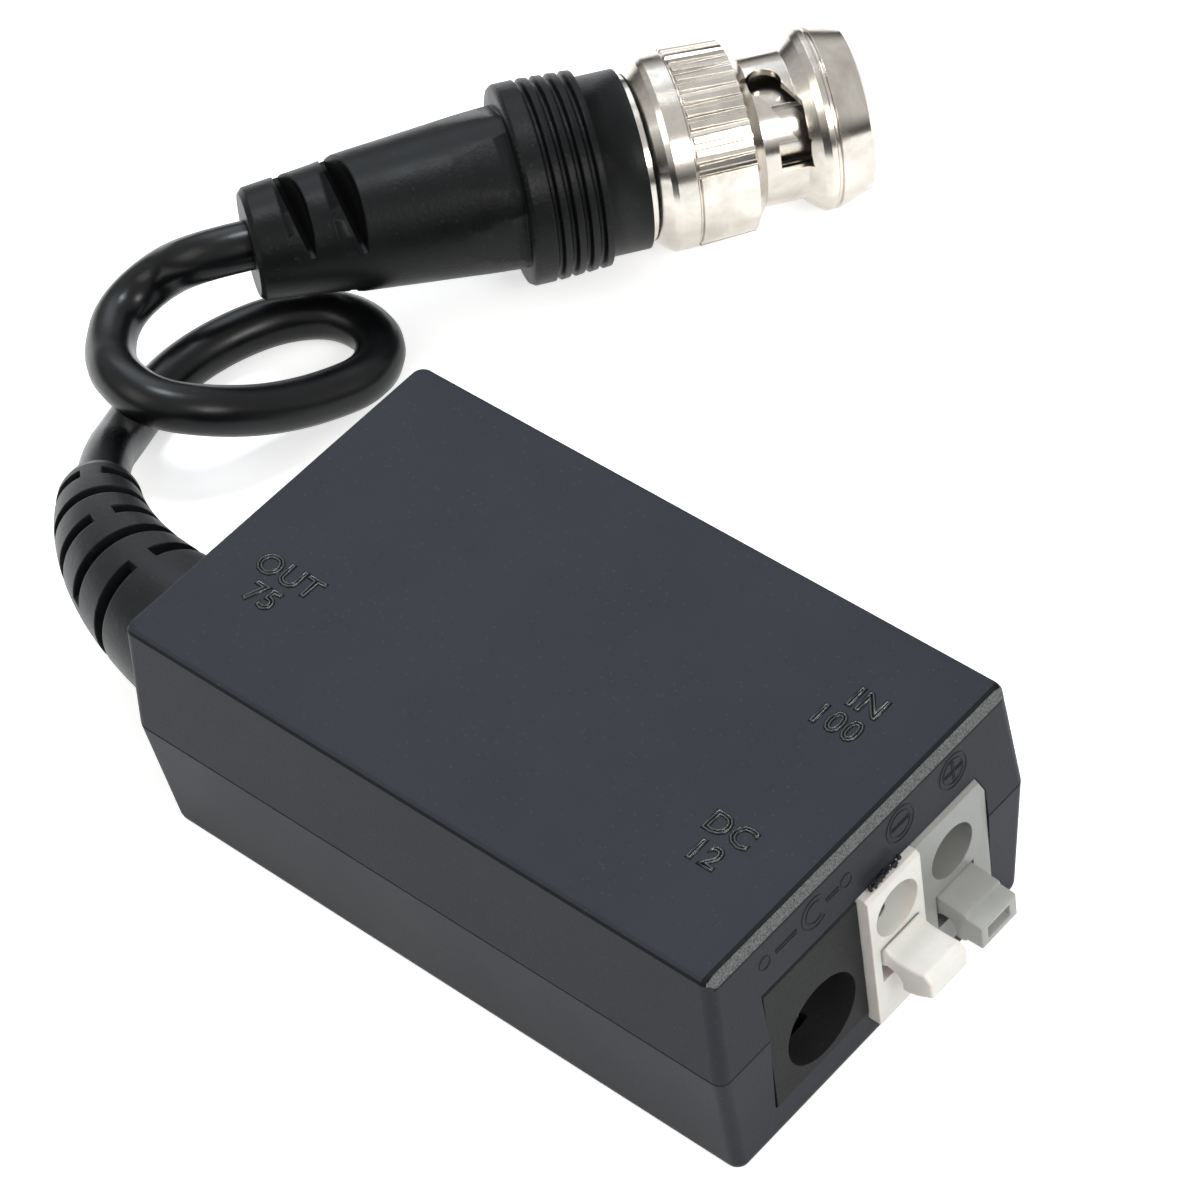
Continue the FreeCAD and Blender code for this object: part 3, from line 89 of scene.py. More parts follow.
def addNode(tree, kind, inputs=None, **settings):
    node = tree.nodes.new(kind)
    for name, value in settings.items():
        setattr(node, name, value)
    for name, value in (inputs or {}).items():
        if isinstance(value, bpy.types.NodeSocket):
            tree.links.new(value, node.inputs[name])
        else:
            node.inputs[name].default_value = value
    return node


def blend(tree, low, high, mask):
    # a colour between low and high by the mask
    return addNode(tree, "ShaderNodeMix", {0: mask, 6: low, 7: high}, data_type="RGBA").outputs[2]


def remap(tree, value, low, high, fromLow=0.0, fromHigh=1.0):
    return addNode(tree, "ShaderNodeMapRange", {
        "Value": value, "From Min": fromLow, "From Max": fromHigh, "To Min": low, "To Max": high,
    }).outputs[0]


def maths(tree, operation, first, second):
    return addNode(tree, "ShaderNodeMath", {0: first, 1: second}, operation=operation).outputs[0]


def vectorMaths(tree, operation, *values):
    return addNode(tree, "ShaderNodeVectorMath", dict(enumerate(values)), operation=operation).outputs


def colour(red, green, blue):
    # from the 0 to 255 values seen on screen
    def linear(value):
        value /= 255
        return value / 12.92 if value <= 0.04045 else ((value + 0.055) / 1.055) ** 2.4
    return (linear(red), linear(green), linear(blue), 1)


def newGroup(name, inputs, outputs):
    group = bpy.data.node_groups.new(name, "ShaderNodeTree")
    for label, value in inputs.items():
        kind = "NodeSocketVector" if isinstance(value, tuple) else "NodeSocketFloat"
        group.interface.new_socket(label, in_out="INPUT", socket_type=kind).default_value = value
    for label in outputs:
        group.interface.new_socket(label, in_out="OUTPUT", socket_type="NodeSocketFloat")
    return group, group.nodes.new("NodeGroupInput").outputs, group.nodes.new("NodeGroupOutput").inputs


def makeMouldedSkin():
    # spark-eroded mould finish: fine grain, pale specks on the high points and slow clouding
    group, given, out = newGroup(
        "mouldedSkin",
        {"Grain per m": 5000.0, "Cloud per m": 160.0, "Speck Share": 0.2},
        ("Height", "Cloud", "Specks"),
    )
    place = addNode(group, "ShaderNodeTexCoord").outputs["Object"]
    grain = addNode(group, "ShaderNodeTexNoise", {
        "Vector": place, "Scale": given["Grain per m"], "Detail": 2.5, "Roughness": 0.6,
    }).outputs[0]
    cloud = addNode(group, "ShaderNodeTexNoise", {
        "Vector": place, "Scale": given["Cloud per m"], "Detail": 4.0, "Roughness": 0.55,
    }).outputs[0]
    cells = addNode(group, "ShaderNodeTexVoronoi", {
        "Vector": place, "Scale": given["Grain per m"], "Randomness": 1.0,
    })
    pick = addNode(group, "ShaderNodeSeparateColor", {"Color": cells.outputs["Color"]}).outputs[0]
    lit = maths(group, "LESS_THAN", pick, given["Speck Share"])
    near = remap(group, cells.outputs["Distance"], 1.0, 0.0, 0.1, 0.45)
    group.links.new(grain, out["Height"])
    group.links.new(remap(group, cloud, 0.0, 1.0, 0.3, 0.7), out["Cloud"])
    group.links.new(maths(group, "MULTIPLY", lit, near), out["Specks"])
    return group


def makeTurnedMetal():
    # fine lines left by a lathe, round an axis, with handling smears
    group, given, out = newGroup(
        "turnedMetal",
        {"Lines per m": 9000.0, "Smear per m": 260.0, "Centre": (0.0, 0.0, 0.0), "Turn": (0.0, 0.0, 0.0)},
        ("Height", "Smear"),
    )
    place = addNode(group, "ShaderNodeTexCoord").outputs["Object"]
    turned = addNode(group, "ShaderNodeMapping", {
        "Vector": place, "Location": given["Centre"], "Rotation": given["Turn"],
    }, vector_type="TEXTURE").outputs[0]
    along = addNode(group, "ShaderNodeSeparateXYZ", {"Vector": turned}).outputs[0]
    lines = addNode(group, "ShaderNodeTexNoise", {
        "W": maths(group, "MULTIPLY", along, given["Lines per m"]), "Scale": 1.0, "Detail": 2.0,
    }, noise_dimensions="1D").outputs[0]
    smear = addNode(group, "ShaderNodeTexNoise", {
        "Vector": place, "Scale": given["Smear per m"], "Detail": 5.0, "Roughness": 0.6, "Distortion": 0.4,
    }).outputs[0]
    group.links.new(lines, out["Height"])
    group.links.new(remap(group, smear, 0.0, 1.0, 0.35, 0.65), out["Smear"])
    return group


def makeBandScuffsAndShade():
    # the scuffed bevel along the front of the lid, with painted shade in a dark line above and below it
    group, given, out = newGroup(
        "bandScuffsAndShade",
        {"Edge X": 0.0239, "Edge Z": 0.01845, "Line Width": 0.00014, "Grain per m": 9000.0},
        ("Scuffs", "Lines"),
    )
    leaning, turned, square = 0.3, 0.5, 0.9     # least part of a face's normal that points the way asked
    darkness = 0.75

    def over(value, limit):
        return maths(group, "GREATER_THAN", value, limit)

    def both(first, second):
        return maths(group, "MULTIPLY", first, second)

    def either(first, second):
        return maths(group, "MAXIMUM", first, second)

    place = addNode(group, "ShaderNodeTexCoord").outputs["Object"]
    at = addNode(group, "ShaderNodeSeparateXYZ", {"Vector": place}).outputs
    normal = addNode(group, "ShaderNodeNewGeometry").outputs["True Normal"]
    faced = addNode(group, "ShaderNodeSeparateXYZ", {"Vector": normal}).outputs
    high = over(at[2], given["Edge Z"])
    upward = over(faced[2], leaning)
    band = both(both(upward, over(faced[0], turned)), high)
    scuffs = addNode(group, "ShaderNodeTexNoise", {
        "Vector": place, "Scale": given["Grain per m"], "Detail": 2.0, "Roughness": 0.7,
    }).outputs[0]
    group.links.new(both(band, remap(group, scuffs, 0.25, 1.0, 0.35, 0.6)), out["Scuffs"])

    # painted shade: dark lines along the band's upper and lower edges
    lineX = maths(group, "SUBTRACT", given["Edge X"], given["Line Width"])
    lineZ = maths(group, "SUBTRACT", given["Edge Z"], given["Line Width"])
    above = both(over(faced[2], square), over(at[0], lineX))
    below = both(over(faced[0], square), over(at[2], lineZ))
    # the narrow chamfer round the other three sides of the top gets painted shade too, in place of the dark it
    # reflects
    across = addNode(group, "ShaderNodeMath", {0: faced[1]}, operation="ABSOLUTE").outputs[0]
    sideways = either(across, both(faced[0], -1.0))
    chamfer = both(high, both(over(sideways, turned), upward))
    group.links.new(both(either(either(above, chamfer), below), darkness), out["Lines"])
    return group


def makeSlotShade():
    # painted shade inside the slots of the boot's tail, by the distance from its axis
    group, given, out = newGroup(
        "slotShade",
        {"Origin": (0.0, 0.0, 0.0), "Axis": (1.0, 0.0, 0.0), "Radius": 0.00415, "Growth": 0.1,
         "Near": 0.0005, "Far": 0.0095, "Shallow": 0.0001, "Deep": 0.0009},
        ("Shade",),
    )
    place = addNode(group, "ShaderNodeTexCoord").outputs["Object"]
    reach = vectorMaths(group, "SUBTRACT", place, given["Origin"])[0]
    along = vectorMaths(group, "DOT_PRODUCT", reach, given["Axis"])["Value"]
    across = vectorMaths(group, "CROSS_PRODUCT", reach, given["Axis"])[0]
    away = vectorMaths(group, "LENGTH", across)["Value"]
    skin = maths(group, "ADD", given["Radius"], maths(group, "MULTIPLY", along, given["Growth"]))
    deep = remap(group, maths(group, "SUBTRACT", skin, away), 0.0, 1.0, given["Shallow"], given["Deep"])
    inTail = maths(group, "MULTIPLY", maths(group, "GREATER_THAN", along, given["Near"]),
                   maths(group, "LESS_THAN", along, given["Far"]))
    group.links.new(maths(group, "MULTIPLY", deep, inTail), out["Shade"])
    return group


mouldedSkin = makeMouldedSkin()
slotShade = makeSlotShade()
bandScuffsAndShade = makeBandScuffsAndShade()
turnedMetal = makeTurnedMetal()


def startMaterial(name):
    made = bpy.data.materials.new(name)
    made.use_nodes = True
    return made, made.node_tree, made.node_tree.nodes["Principled BSDF"]


def dress(tree, face, tint, mask, rough, height, depth, edge, shader):
    # depth and edge, the radius of the softened edges, are in mm
    tree.links.new(tint, face.inputs["Base Color"])
    tree.links.new(remap(tree, mask, *rough), face.inputs["Roughness"])
    softEdge = addNode(tree, "ShaderNodeBevel", {"Radius": edge * mm}, samples=4).outputs[0]
    bump = addNode(tree, "ShaderNodeBump", {
        "Height": height, "Distance": depth * mm, "Strength": 1.0, "Normal": softEdge})
    tree.links.new(bump.outputs[0], face.inputs["Normal"])
    for socket, value in shader.items():
        face.inputs[socket.replace("_", " ")].default_value = value


def plastic(name, dark, light, speck=None, rough=(0.45, 0.6), grain=5000.0, depth=0.02, cloud=160.0,
            share=0.2, edge=0.1, **shader):
    made, tree, face = startMaterial(name)
    skin = addNode(tree, "ShaderNodeGroup", node_tree=mouldedSkin, label="mouldedSkin")
    for label, value in (("Grain per m", grain), ("Cloud per m", cloud), ("Speck Share", share)):
        skin.inputs[label].default_value = value
    tint = blend(tree, colour(*dark), colour(*light), skin.outputs["Cloud"])
    if speck:
        tint = blend(tree, tint, colour(*speck), skin.outputs["Specks"])
    dress(tree, face, tint, skin.outputs["Cloud"], rough, skin.outputs["Height"], depth, edge, shader)
    return made


def metal(name, dark, light, rough=(0.15, 0.3), lines=9000.0, depth=0.004, centre=(0, 0, 0), turn=(0, 0, 0),
          edge=0.06):
    made, tree, face = startMaterial(name)
    cut = addNode(tree, "ShaderNodeGroup", node_tree=turnedMetal, label="turnedMetal")
    for label, value in (("Lines per m", lines), ("Centre", centre), ("Turn", turn)):
        cut.inputs[label].default_value = value
    tint = blend(tree, colour(*light), colour(*dark), cut.outputs["Smear"])
    dress(tree, face, tint, cut.outputs["Smear"], rough, cut.outputs["Height"], depth, edge, {"Metallic": 1.0})
    return made


plugAxis = Vector((0.555417, 0.829673, -0.05617))          # forward out of the boot
plugOrigin = Vector((-0.05056, 0.02244, 0.0095))           # middle of the boot's tail end
plugSeat = Vector((-0.0338975, 0.0473302, 0.0078149))      # where the sleeve turns on the plug's body
onPlug = {"centre": tuple(plugSeat), "turn": tuple(plugAxis.to_track_quat("X", "Z").to_euler())}

finishes = {
    "case_black": plastic(
        "case_black", (44, 46, 51), (48, 50, 55), (57, 59, 62), rough=(0.4, 0.48), grain=4200.0, depth=0.015,
        cloud=90.0, share=0.06, edge=0.1, Specular_IOR_Level=0.05),
    "socket_black": plastic(
        "socket_black", (34, 35, 35), (40, 41, 41), (50, 50, 50), rough=(0.45, 0.6), grain=3600.0, depth=0.03,
        share=0.04, Specular_IOR_Level=0.08),
    "terminal_white": plastic(
        "terminal_white", (216, 214, 208), (225, 223, 218), rough=(0.38, 0.5), grain=1500.0, depth=0.03,
        cloud=420.0, edge=0.15, Subsurface_Weight=0.25, Subsurface_Scale=0.0012),
    "terminal_light_grey": plastic(
        "terminal_light_grey", (131, 132, 129), (141, 142, 139), rough=(0.38, 0.5), grain=1800.0, depth=0.02,
        cloud=420.0, edge=0.12),
    "lever_grey": plastic(
        "lever_grey", (150, 151, 147), (160, 161, 157), rough=(0.36, 0.48), grain=1800.0, depth=0.02,
        cloud=420.0, edge=0.12),
    "relief_black": plastic(
        "relief_black", (22, 23, 25), (28, 29, 31), (40, 41, 43), rough=(0.36, 0.46), grain=3000.0, depth=0.02,
        cloud=220.0, share=0.06, edge=0.2, Specular_IOR_Level=0.2),
    "boot_black": plastic(
        "boot_black", (12, 13, 14), (17, 18, 19), (30, 31, 32), rough=(0.34, 0.44), grain=3000.0, depth=0.02,
        cloud=220.0, share=0.06, edge=0.2, Specular_IOR_Level=0.14),
    # the raised letters are the lid's own plastic; their darker colour is painted shade round the strokes
    "mark_painted_shade": plastic(
        "mark_painted_shade", (10, 11, 12), (15, 16, 17), rough=(0.2, 0.3), grain=4200.0, depth=0.004, edge=0.02,
        Specular_IOR_Level=0.6),
    "cable_black": plastic(
        "cable_black", (6, 7, 9), (10, 11, 13), rough=(0.26, 0.34), grain=2200.0, depth=0.006, cloud=300.0,
        edge=0.02, Specular_IOR_Level=0.28),
    "lead_cover": plastic(
        "lead_cover", (150, 36, 30), (168, 46, 38), rough=(0.4, 0.5), grain=3000.0, depth=0.01),
    "gasket_red": plastic(
        "gasket_red", (132, 52, 40), (152, 64, 50), rough=(0.5, 0.62), grain=3200.0, depth=0.02),
    "insulator_white": plastic(
        "insulator_white", (232, 232, 232), (240, 240, 239), rough=(0.3, 0.4), grain=2400.0, depth=0.008,
        Subsurface_Weight=0.2, Subsurface_Scale=0.001),
    "board_green": plastic(
        "board_green", (22, 82, 48), (30, 100, 60), (52, 128, 84), rough=(0.3, 0.42), grain=2600.0, depth=0.01,
        cloud=500.0, share=0.1),
    "chip_black": plastic(
        "chip_black", (28, 28, 30), (36, 36, 38), (70, 70, 72), rough=(0.5, 0.65), grain=6000.0, depth=0.02),
    "can_sleeve": plastic(
        "can_sleeve", (24, 30, 44), (32, 38, 54), rough=(0.22, 0.34), grain=2000.0, depth=0.006),
    "ferrite": plastic(
        "ferrite", (54, 56, 54), (66, 68, 66), (98, 100, 98), rough=(0.55, 0.7), grain=5000.0, depth=0.04),
    "contact_metal": metal("contact_metal", (178, 178, 176), (205, 205, 203), rough=(0.24, 0.4)),
    "spring_steel": metal("spring_steel", (150, 150, 150), (176, 176, 176), rough=(0.28, 0.42)),
    "copper_wire": metal("copper_wire", (150, 84, 50), (186, 110, 70), rough=(0.22, 0.36), lines=14000.0),
    "gold": metal("gold", (204, 160, 82), (224, 184, 104), rough=(0.14, 0.24), **onPlug),
    "nickel": metal(
        "nickel", (186, 180, 171), (216, 210, 201), rough=(0.14, 0.24), lines=11000.0, depth=0.002,
        edge=0.08, **onPlug),
}


def scuffAndShadeLid(made, scuffed, paintedShade, depth):
    # pale scuffs and a coarser bump on the band, over the lid's own finish, and painted shade in dark lines
    # beside it
    tree = made.node_tree
    face = tree.nodes["Principled BSDF"]
    band = addNode(tree, "ShaderNodeGroup", node_tree=bandScuffsAndShade, label="bandScuffsAndShade")
    under = face.inputs["Base Color"].links[0].from_socket
    under = blend(tree, under, colour(*paintedShade), band.outputs["Lines"])
    tree.links.new(blend(tree, under, colour(*scuffed), band.outputs["Scuffs"]), face.inputs["Base Color"])
    plain = face.inputs["Normal"].links[0].from_socket
    bump = addNode(tree, "ShaderNodeBump", {
        "Height": band.outputs["Scuffs"], "Distance": depth * mm, "Strength": 1.0, "Normal": plain})
    tree.links.new(bump.outputs[0], face.inputs["Normal"])


def shadeSlots(made, shaded):
    # painted shade: the slots' insides are darker than the boot's skin, and duller
    tree = made.node_tree
    face = tree.nodes["Principled BSDF"]
    inside = addNode(tree, "ShaderNodeGroup", {"Origin": plugOrigin, "Axis": plugAxis}, node_tree=slotShade,
                     label="slotShade")
    under = face.inputs["Base Color"].links[0].from_socket
    tree.links.new(blend(tree, under, colour(*shaded), inside.outputs["Shade"]), face.inputs["Base Color"])
    rough = face.inputs["Roughness"].links[0].from_socket
    tree.links.new(maths(tree, "MAXIMUM", rough, inside.outputs["Shade"]), face.inputs["Roughness"])


shadeSlots(finishes["boot_black"], shaded=(1, 1, 1))
# the dark lines on the lid are painted shade
scuffAndShadeLid(finishes["case_black"], scuffed=(112, 113, 112), paintedShade=(8, 8, 8), depth=0.02)
print("materials made:", len(finishes))

for name, node in nodes.items():
    for slot in node.material_slots:
        known = slot.material.name.split(".")[0]
        if known in finishes:
            slot.material = finishes[known]
        else:
            print("no finish for", name, known)


# Mesh helpers

def meshOf(thing):
    # the finished mesh of a text, curve or modified object, which is then dropped
    scene.collection.objects.link(thing)
    made = bpy.data.meshes.new_from_object(thing.evaluated_get(bpy.context.evaluated_depsgraph_get()))
    bpy.data.objects.remove(thing)
    return made


def meshFrom(name, form):
    mesh = bpy.data.meshes.new(name)
    form.to_mesh(mesh)
    form.free()
    return mesh


def joinMeshes(name, meshes):
    joined = bmesh.new()
    for piece in meshes:
        joined.from_mesh(piece)
    return meshFrom(name, joined)


def mergedForm(node, reach=0.001):
    # a CAD node's mesh as one skin, with the copies of its corners merged
    form = bmesh.new()
    form.from_mesh(nodes[node].data)
    bmesh.ops.remove_doubles(form, verts=form.verts, dist=reach * mm)
    return form


def placePiece(name, mesh, body, finish, smooth=True):
    # every face takes the named finish, which need not be one of the record's slots, and the piece rides on the
    # body
    piece = bpy.data.objects.new(name, mesh)
    scene.collection.objects.link(piece)
    mesh.materials.clear()
    mesh.materials.append(finishes[finish])
    for face in mesh.polygons:
        face.material_index = 0
        face.use_smooth = smooth
    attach(piece, body)
    return piece


# Boot: the CAD boot with its tail filled and cut again, with tapered slots that lean a little

bootSetup = {
    "skin": [               # station from the cable's end and radius, in mm, of the tail with its slots filled
        (1.0, 4.208), (2.25, 4.34), (3.55, 4.44), (5.65, 4.69), (7.4, 5.04), (8.4, 5.128),
    ],
    "around": 96,           # corners in one ring of that skin
    "floor": 1.9,           # a slot's floor and mouth: distance from the axis and width along it
    "floorWidth": 0.4,
    "mouth": 7,
    "mouthWidth": 2.5,
    "halfLength": 8,        # of a cut, across the axis
    "upperSide": -3.3,      # where across the axis a slot's station is given
    "slots": [              # turn about the axis in degrees, station, lean
        (98, 3.05, 0.12), (98, 6.65, 0.12), (284, 2.9, 0.0), (284, 6.55, 0.0),
    ],
    "sharp": 13,            # degrees between faces from which an edge shows
}


def solidOf(name, corners, faces):
    form = bmesh.new()
    points = [form.verts.new(corner) for corner in corners]
    for face in faces:
        form.faces.new([points[k] for k in face])
    bmesh.ops.recalc_face_normals(form, faces=form.faces)
    return meshFrom(name, form)


def plugPoint(turn, away, across, station):
    # a place on the plug, in mm: away along the turned direction, across it, and along the axis
    yaw = math.atan2(plugAxis.y, plugAxis.x)
    side = Vector((-math.sin(yaw), math.cos(yaw), 0))
    up = plugAxis.cross(side)
    a = math.radians(turn)
    out = side * math.cos(a) + up * math.sin(a)
    over = up * math.cos(a) - side * math.sin(a)
    return plugOrigin + (out * away + over * across + plugAxis * station) * mm


def makeTail(setup):
    steps = setup["around"]
    corners = [
        plugPoint(360 * k / steps, radius, 0, station)
        for station, radius in setup["skin"] for k in range(steps)
    ]
    rows = len(setup["skin"])
    faces = [
        (r * steps + k, r * steps + (k + 1) % steps, (r + 1) * steps + (k + 1) % steps, (r + 1) * steps + k)
        for r in range(rows - 1) for k in range(steps)
    ]
    faces += [tuple(range(steps)), tuple(range((rows - 1) * steps, rows * steps))]
    return solidOf("tail", corners, faces)


def makeWedge(turn, station, lean, setup):
    corners = []
    for across in (-setup["halfLength"], setup["halfLength"]):
        middle = station + lean * (across - setup["upperSide"])
        for away, width in ((setup["floor"], setup["floorWidth"]), (setup["mouth"], setup["mouthWidth"])):
            corners.append(plugPoint(turn, away, across, middle - width / 2))
            corners.append(plugPoint(turn, away, across, middle + width / 2))
    faces = [(0, 1, 3, 2), (4, 5, 7, 6), (0, 1, 5, 4), (2, 3, 7, 6), (0, 2, 6, 4), (1, 3, 7, 5)]
    return solidOf("wedge", corners, faces)


def makeBoot(setup):
    boot = bpy.data.objects.new("plugBoot", meshFrom("plugBoot", mergedForm("plug_boot")))
    changes = [("UNION", makeTail(setup))]
    changes += [("DIFFERENCE", makeWedge(turn, station, lean, setup)) for turn, station, lean in setup["slots"]]
    tools = []
    for operation, piece in changes:
        tool = bpy.data.objects.new("tool", piece)
        scene.collection.objects.link(tool)
        tools.append(tool)
        cut = boot.modifiers.new("cut", "BOOLEAN")
        cut.operation = operation
        cut.solver = "EXACT"
        cut.object = tool
    finished = meshOf(boot)
    for tool in tools:
        bpy.data.objects.remove(tool)
    boot = placePiece("plugBoot", finished, "housing", "boot_black")
    finished.set_sharp_from_angle(angle=math.radians(setup["sharp"]))
    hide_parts("plug_boot")
    return boot


plugBoot = makeBoot(bootSetup)
print("boot cut:", len(plugBoot.data.polygons), "faces")


# Spring washer, which flattens against the ring as the sleeve is drawn forward: here a merged copy of the CAD
# washer with a mesh of its own


def makeSpring():
    mesh = meshFrom("springWasher", mergedForm("spring_washer"))
    spring = placePiece("springWasher", mesh, "housing", "spring_steel", smooth=False)
    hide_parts("spring_washer")
    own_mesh(spring)
    return spring


plugSpring = makeSpring()
print("spring washer made")


# Cable: one loose turn from the strain relief to the plug's boot

cableSetup = {
    "radius": 1.85,
    "length": 79.2,
    "route": [              # the same points as the CAD cable's middle line, from the relief to the plug
        (-44.918, 0.753, 6.345), (-47.929, 3.784, 4.931), (-50.2, 7.3, 2.9), (-52.0, 11.2, 1.9),
        (-52.5, 15.5, 1.9), (-51.6, 19.8, 1.9), (-49.7, 23.6, 1.9), (-46.4, 26.2, 1.9), (-42.1, 26.0, 1.9),
        (-39.8, 22.6, 2.2), (-41.0, 18.4, 2.8), (-42.4, 14.6, 4.0), (-44.1, 11.1, 5.8), (-47.3, 8.5, 6.9),
        (-51.3, 8.9, 6.9), (-54.8, 11.2, 5.6), (-57.2, 14.7, 5.5), (-56.2, 18.4, 6.9),
        (-52.393, 19.702, 9.685), (-50.56, 22.44, 9.5),
    ],
}


def makeCable(setup):
    line = bpy.data.curves.new("videoCable", "CURVE")
    line.dimensions = "3D"
    line.bevel_depth = setup["radius"] * mm
    line.bevel_resolution = 6
    line.resolution_u = 10
    line.use_fill_caps = True
    spline = line.splines.new("NURBS")
    spline.points.add(len(setup["route"]) - 1)
    for point, (x, y, z) in zip(spline.points, setup["route"]):
        point.co = (x * mm, y * mm, z * mm, 1)
    spline.order_u = 3
    spline.use_endpoint_u = True
    spline.use_smooth = True
    cable = bpy.data.objects.new("videoCable", line)
    scene.collection.objects.link(cable)
    line.materials.append(finishes["cable_black"])
    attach(cable, "housing")
    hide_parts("cable")


makeCable(cableSetup)


# Raised marks on the case

markSetup = {
    "letterHeight": 1.65,
    "capShare": 0.7,        # height of a capital as a share of the font's size
    "spacing": 1.08,
    "stroke": 0.11,         # radius of the raised line
    "words": [              # text, x and y of the line's left end
        ("OUT", -21.2, -5.6), ("75", -20.0, -7.9),
        ("IN", 17.2, 7.4), ("100", 15.9, 5.1),
        ("DC", 16.2, -5.2), ("12", 16.6, -7.5),
    ],
}


def makeWord(text, x, y, setup):
    letters = bpy.data.curves.new("word", "FONT")
    letters.body = text
    letters.size = setup["letterHeight"] * mm / setup["capShare"]
    letters.space_character = setup["spacing"]
    letters.fill_mode = "NONE"
    letters.bevel_depth = setup["stroke"] * mm
    letters.bevel_resolution = 1
    letters.resolution_u = 3
    mesh = meshOf(bpy.data.objects.new("word", letters))
    mesh.transform(Matrix.Translation((x * mm, y * mm, caseTop)))
    return mesh


def makeLine(points, radius, closed):
    line = bpy.data.curves.new("mark", "CURVE")
    line.dimensions = "3D"
    line.bevel_depth = radius
    line.bevel_resolution = 1
    line.use_fill_caps = True
    spline = line.splines.new("POLY")
    spline.points.add(len(points) - 1)
    for point, place in zip(spline.points, points):
        point.co = (*place, 1)
    spline.use_cyclic_u = closed
    return meshOf(bpy.data.objects.new("mark", line))


def surfaceOf(node):
    mesh = nodes[node].data
    return BVHTree.FromPolygons([v.co for v in mesh.vertices], [p.vertices for p in mesh.polygons])


frontMarkSetup = {          # y and z on the end wall, in mm
    "line": 0.055,          # radius of the raised line
    "steps": 28,            # runs in one arc
    "wallX": 24.5,          # used where a ray misses the wall
    "rings": (1.3, 0.95),
    "bar": (0.8, 0.09),     # half lengths of a sign's bar
    "terminals": [(8.52, 16.75, True), (3.34, 16.85, False)],
    "socketZ": 16.7,
    "dots": (-9.6, -1.9),   # small rings at the ends of the socket's sign
    "dotRadius": 0.5,
    "cup": -4.9,
    "cupRadii": (0.8, 1.2),
    "cupArc": (50, 310),    # degrees
    "links": [(-7.6, 0.95, 0.13), (-3.2, 0.55, 0.13)],     # y of each bar's middle, half lengths
}


def makeFrontMarks(setup):
    # polarity signs on the end face above the terminals and the socket, laid on the sloped wall
    wall = surfaceOf("top_cover")
    made = []

    def onWall(y, z):
        hit = wall.ray_cast(Vector((2 * setup["wallX"] * mm, y * mm, z * mm)), Vector((-1, 0, 0)))[0]
        return hit if hit else Vector((setup["wallX"] * mm, y * mm, z * mm))

    def stroke(points, closed=False):
        made.append(makeLine([onWall(*point) for point in points], setup["line"] * mm, closed))

    def arc(y, z, radius, start=0, end=360):
        closed = end - start == 360
        steps = setup["steps"]
        turns = [math.radians(start + (end - start) * k / steps) for k in range(steps + (not closed))]
        stroke([(y + radius * math.cos(a), z + radius * math.sin(a)) for a in turns], closed)

    def bar(y, z, halfY, halfZ):
        corners = ((-1, -1), (1, -1), (1, 1), (-1, 1))
        stroke([(y + halfY * right, z + halfZ * up) for right, up in corners], True)

    long, thin = setup["bar"]
    for y, z, upright in setup["terminals"]:
        for radius in setup["rings"]:
            arc(y, z, radius)
        bar(y, z, long, thin)
        if upright:
            bar(y, z, thin, long)
    z = setup["socketZ"]
    for y in setup["dots"]:
        arc(y, z, setup["dotRadius"])
    for y, halfY, halfZ in setup["links"]:
        bar(y, z, halfY, halfZ)
    for radius in setup["cupRadii"]:
        arc(setup["cup"], z, radius, *setup["cupArc"])
    return made


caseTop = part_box("top_cover")[1][2]
words = [makeWord(text, x, y, markSetup) for text, x, y in markSetup["words"]]
# the letters carry the painted-shade finish
placePiece("caseMarks", joinMeshes("caseMarks", words), "housing", "mark_painted_shade")
placePiece("frontMarks", joinMeshes("frontMarks", makeFrontMarks(frontMarkSetup)), "housing", "case_black")
print("case marks raised")


# Levers: moulded copies of the plain solids, with rounded edges

leverSetup = {
    "merge": 0.002,         # corners nearer than this are one, in mm
    "bevelFrom": 30,        # degrees between the faces of an edge that is rounded
    "sharp": 42,            # and of one that still shows
    "white": {"edge": 0.3, "segments": 3, "voxel": 0.11, "smooth": 5},
    "grey": {"edge": 0.12, "segments": 3},
}
spoonSetup = {              # the white lever's outer end, in mm from the terminal's face
    "face": 25.5,
    "start": 0.02,
    "top": 8.9,
    "depth": 2.3,           # below the top, where the bending starts, over a height of
    "blend": 2.2,
    "middle": 1.35,         # y of the lever's middle, and its half width
    "half": 1.75,
    "reach": 3.6,
    "rise": 0.5,            # height of the back, its length, and the run up to it
    "riseLength": 1.1,
    "riseRun": 0.2,
    "scoop": 0.35,
    "scoopEnd": 0.86,       # share of the reach
    "scoopSides": (0.7, 0.3),
    "droop": 0.25,
    "thin": (0.3, 0.55, 0.3),       # how far the underside comes up at the tip, from and over which shares
    "longer": 0.2,
    "pimple": (0.5, 1.1, 0.3, 0.12),        # in from the tip, across, radius, height
    "wander": 0.05,         # unevenness of the sides
    "grain": 700,           # its scale per m
}


def clamped(value):
    return min(max(value, 0), 1)


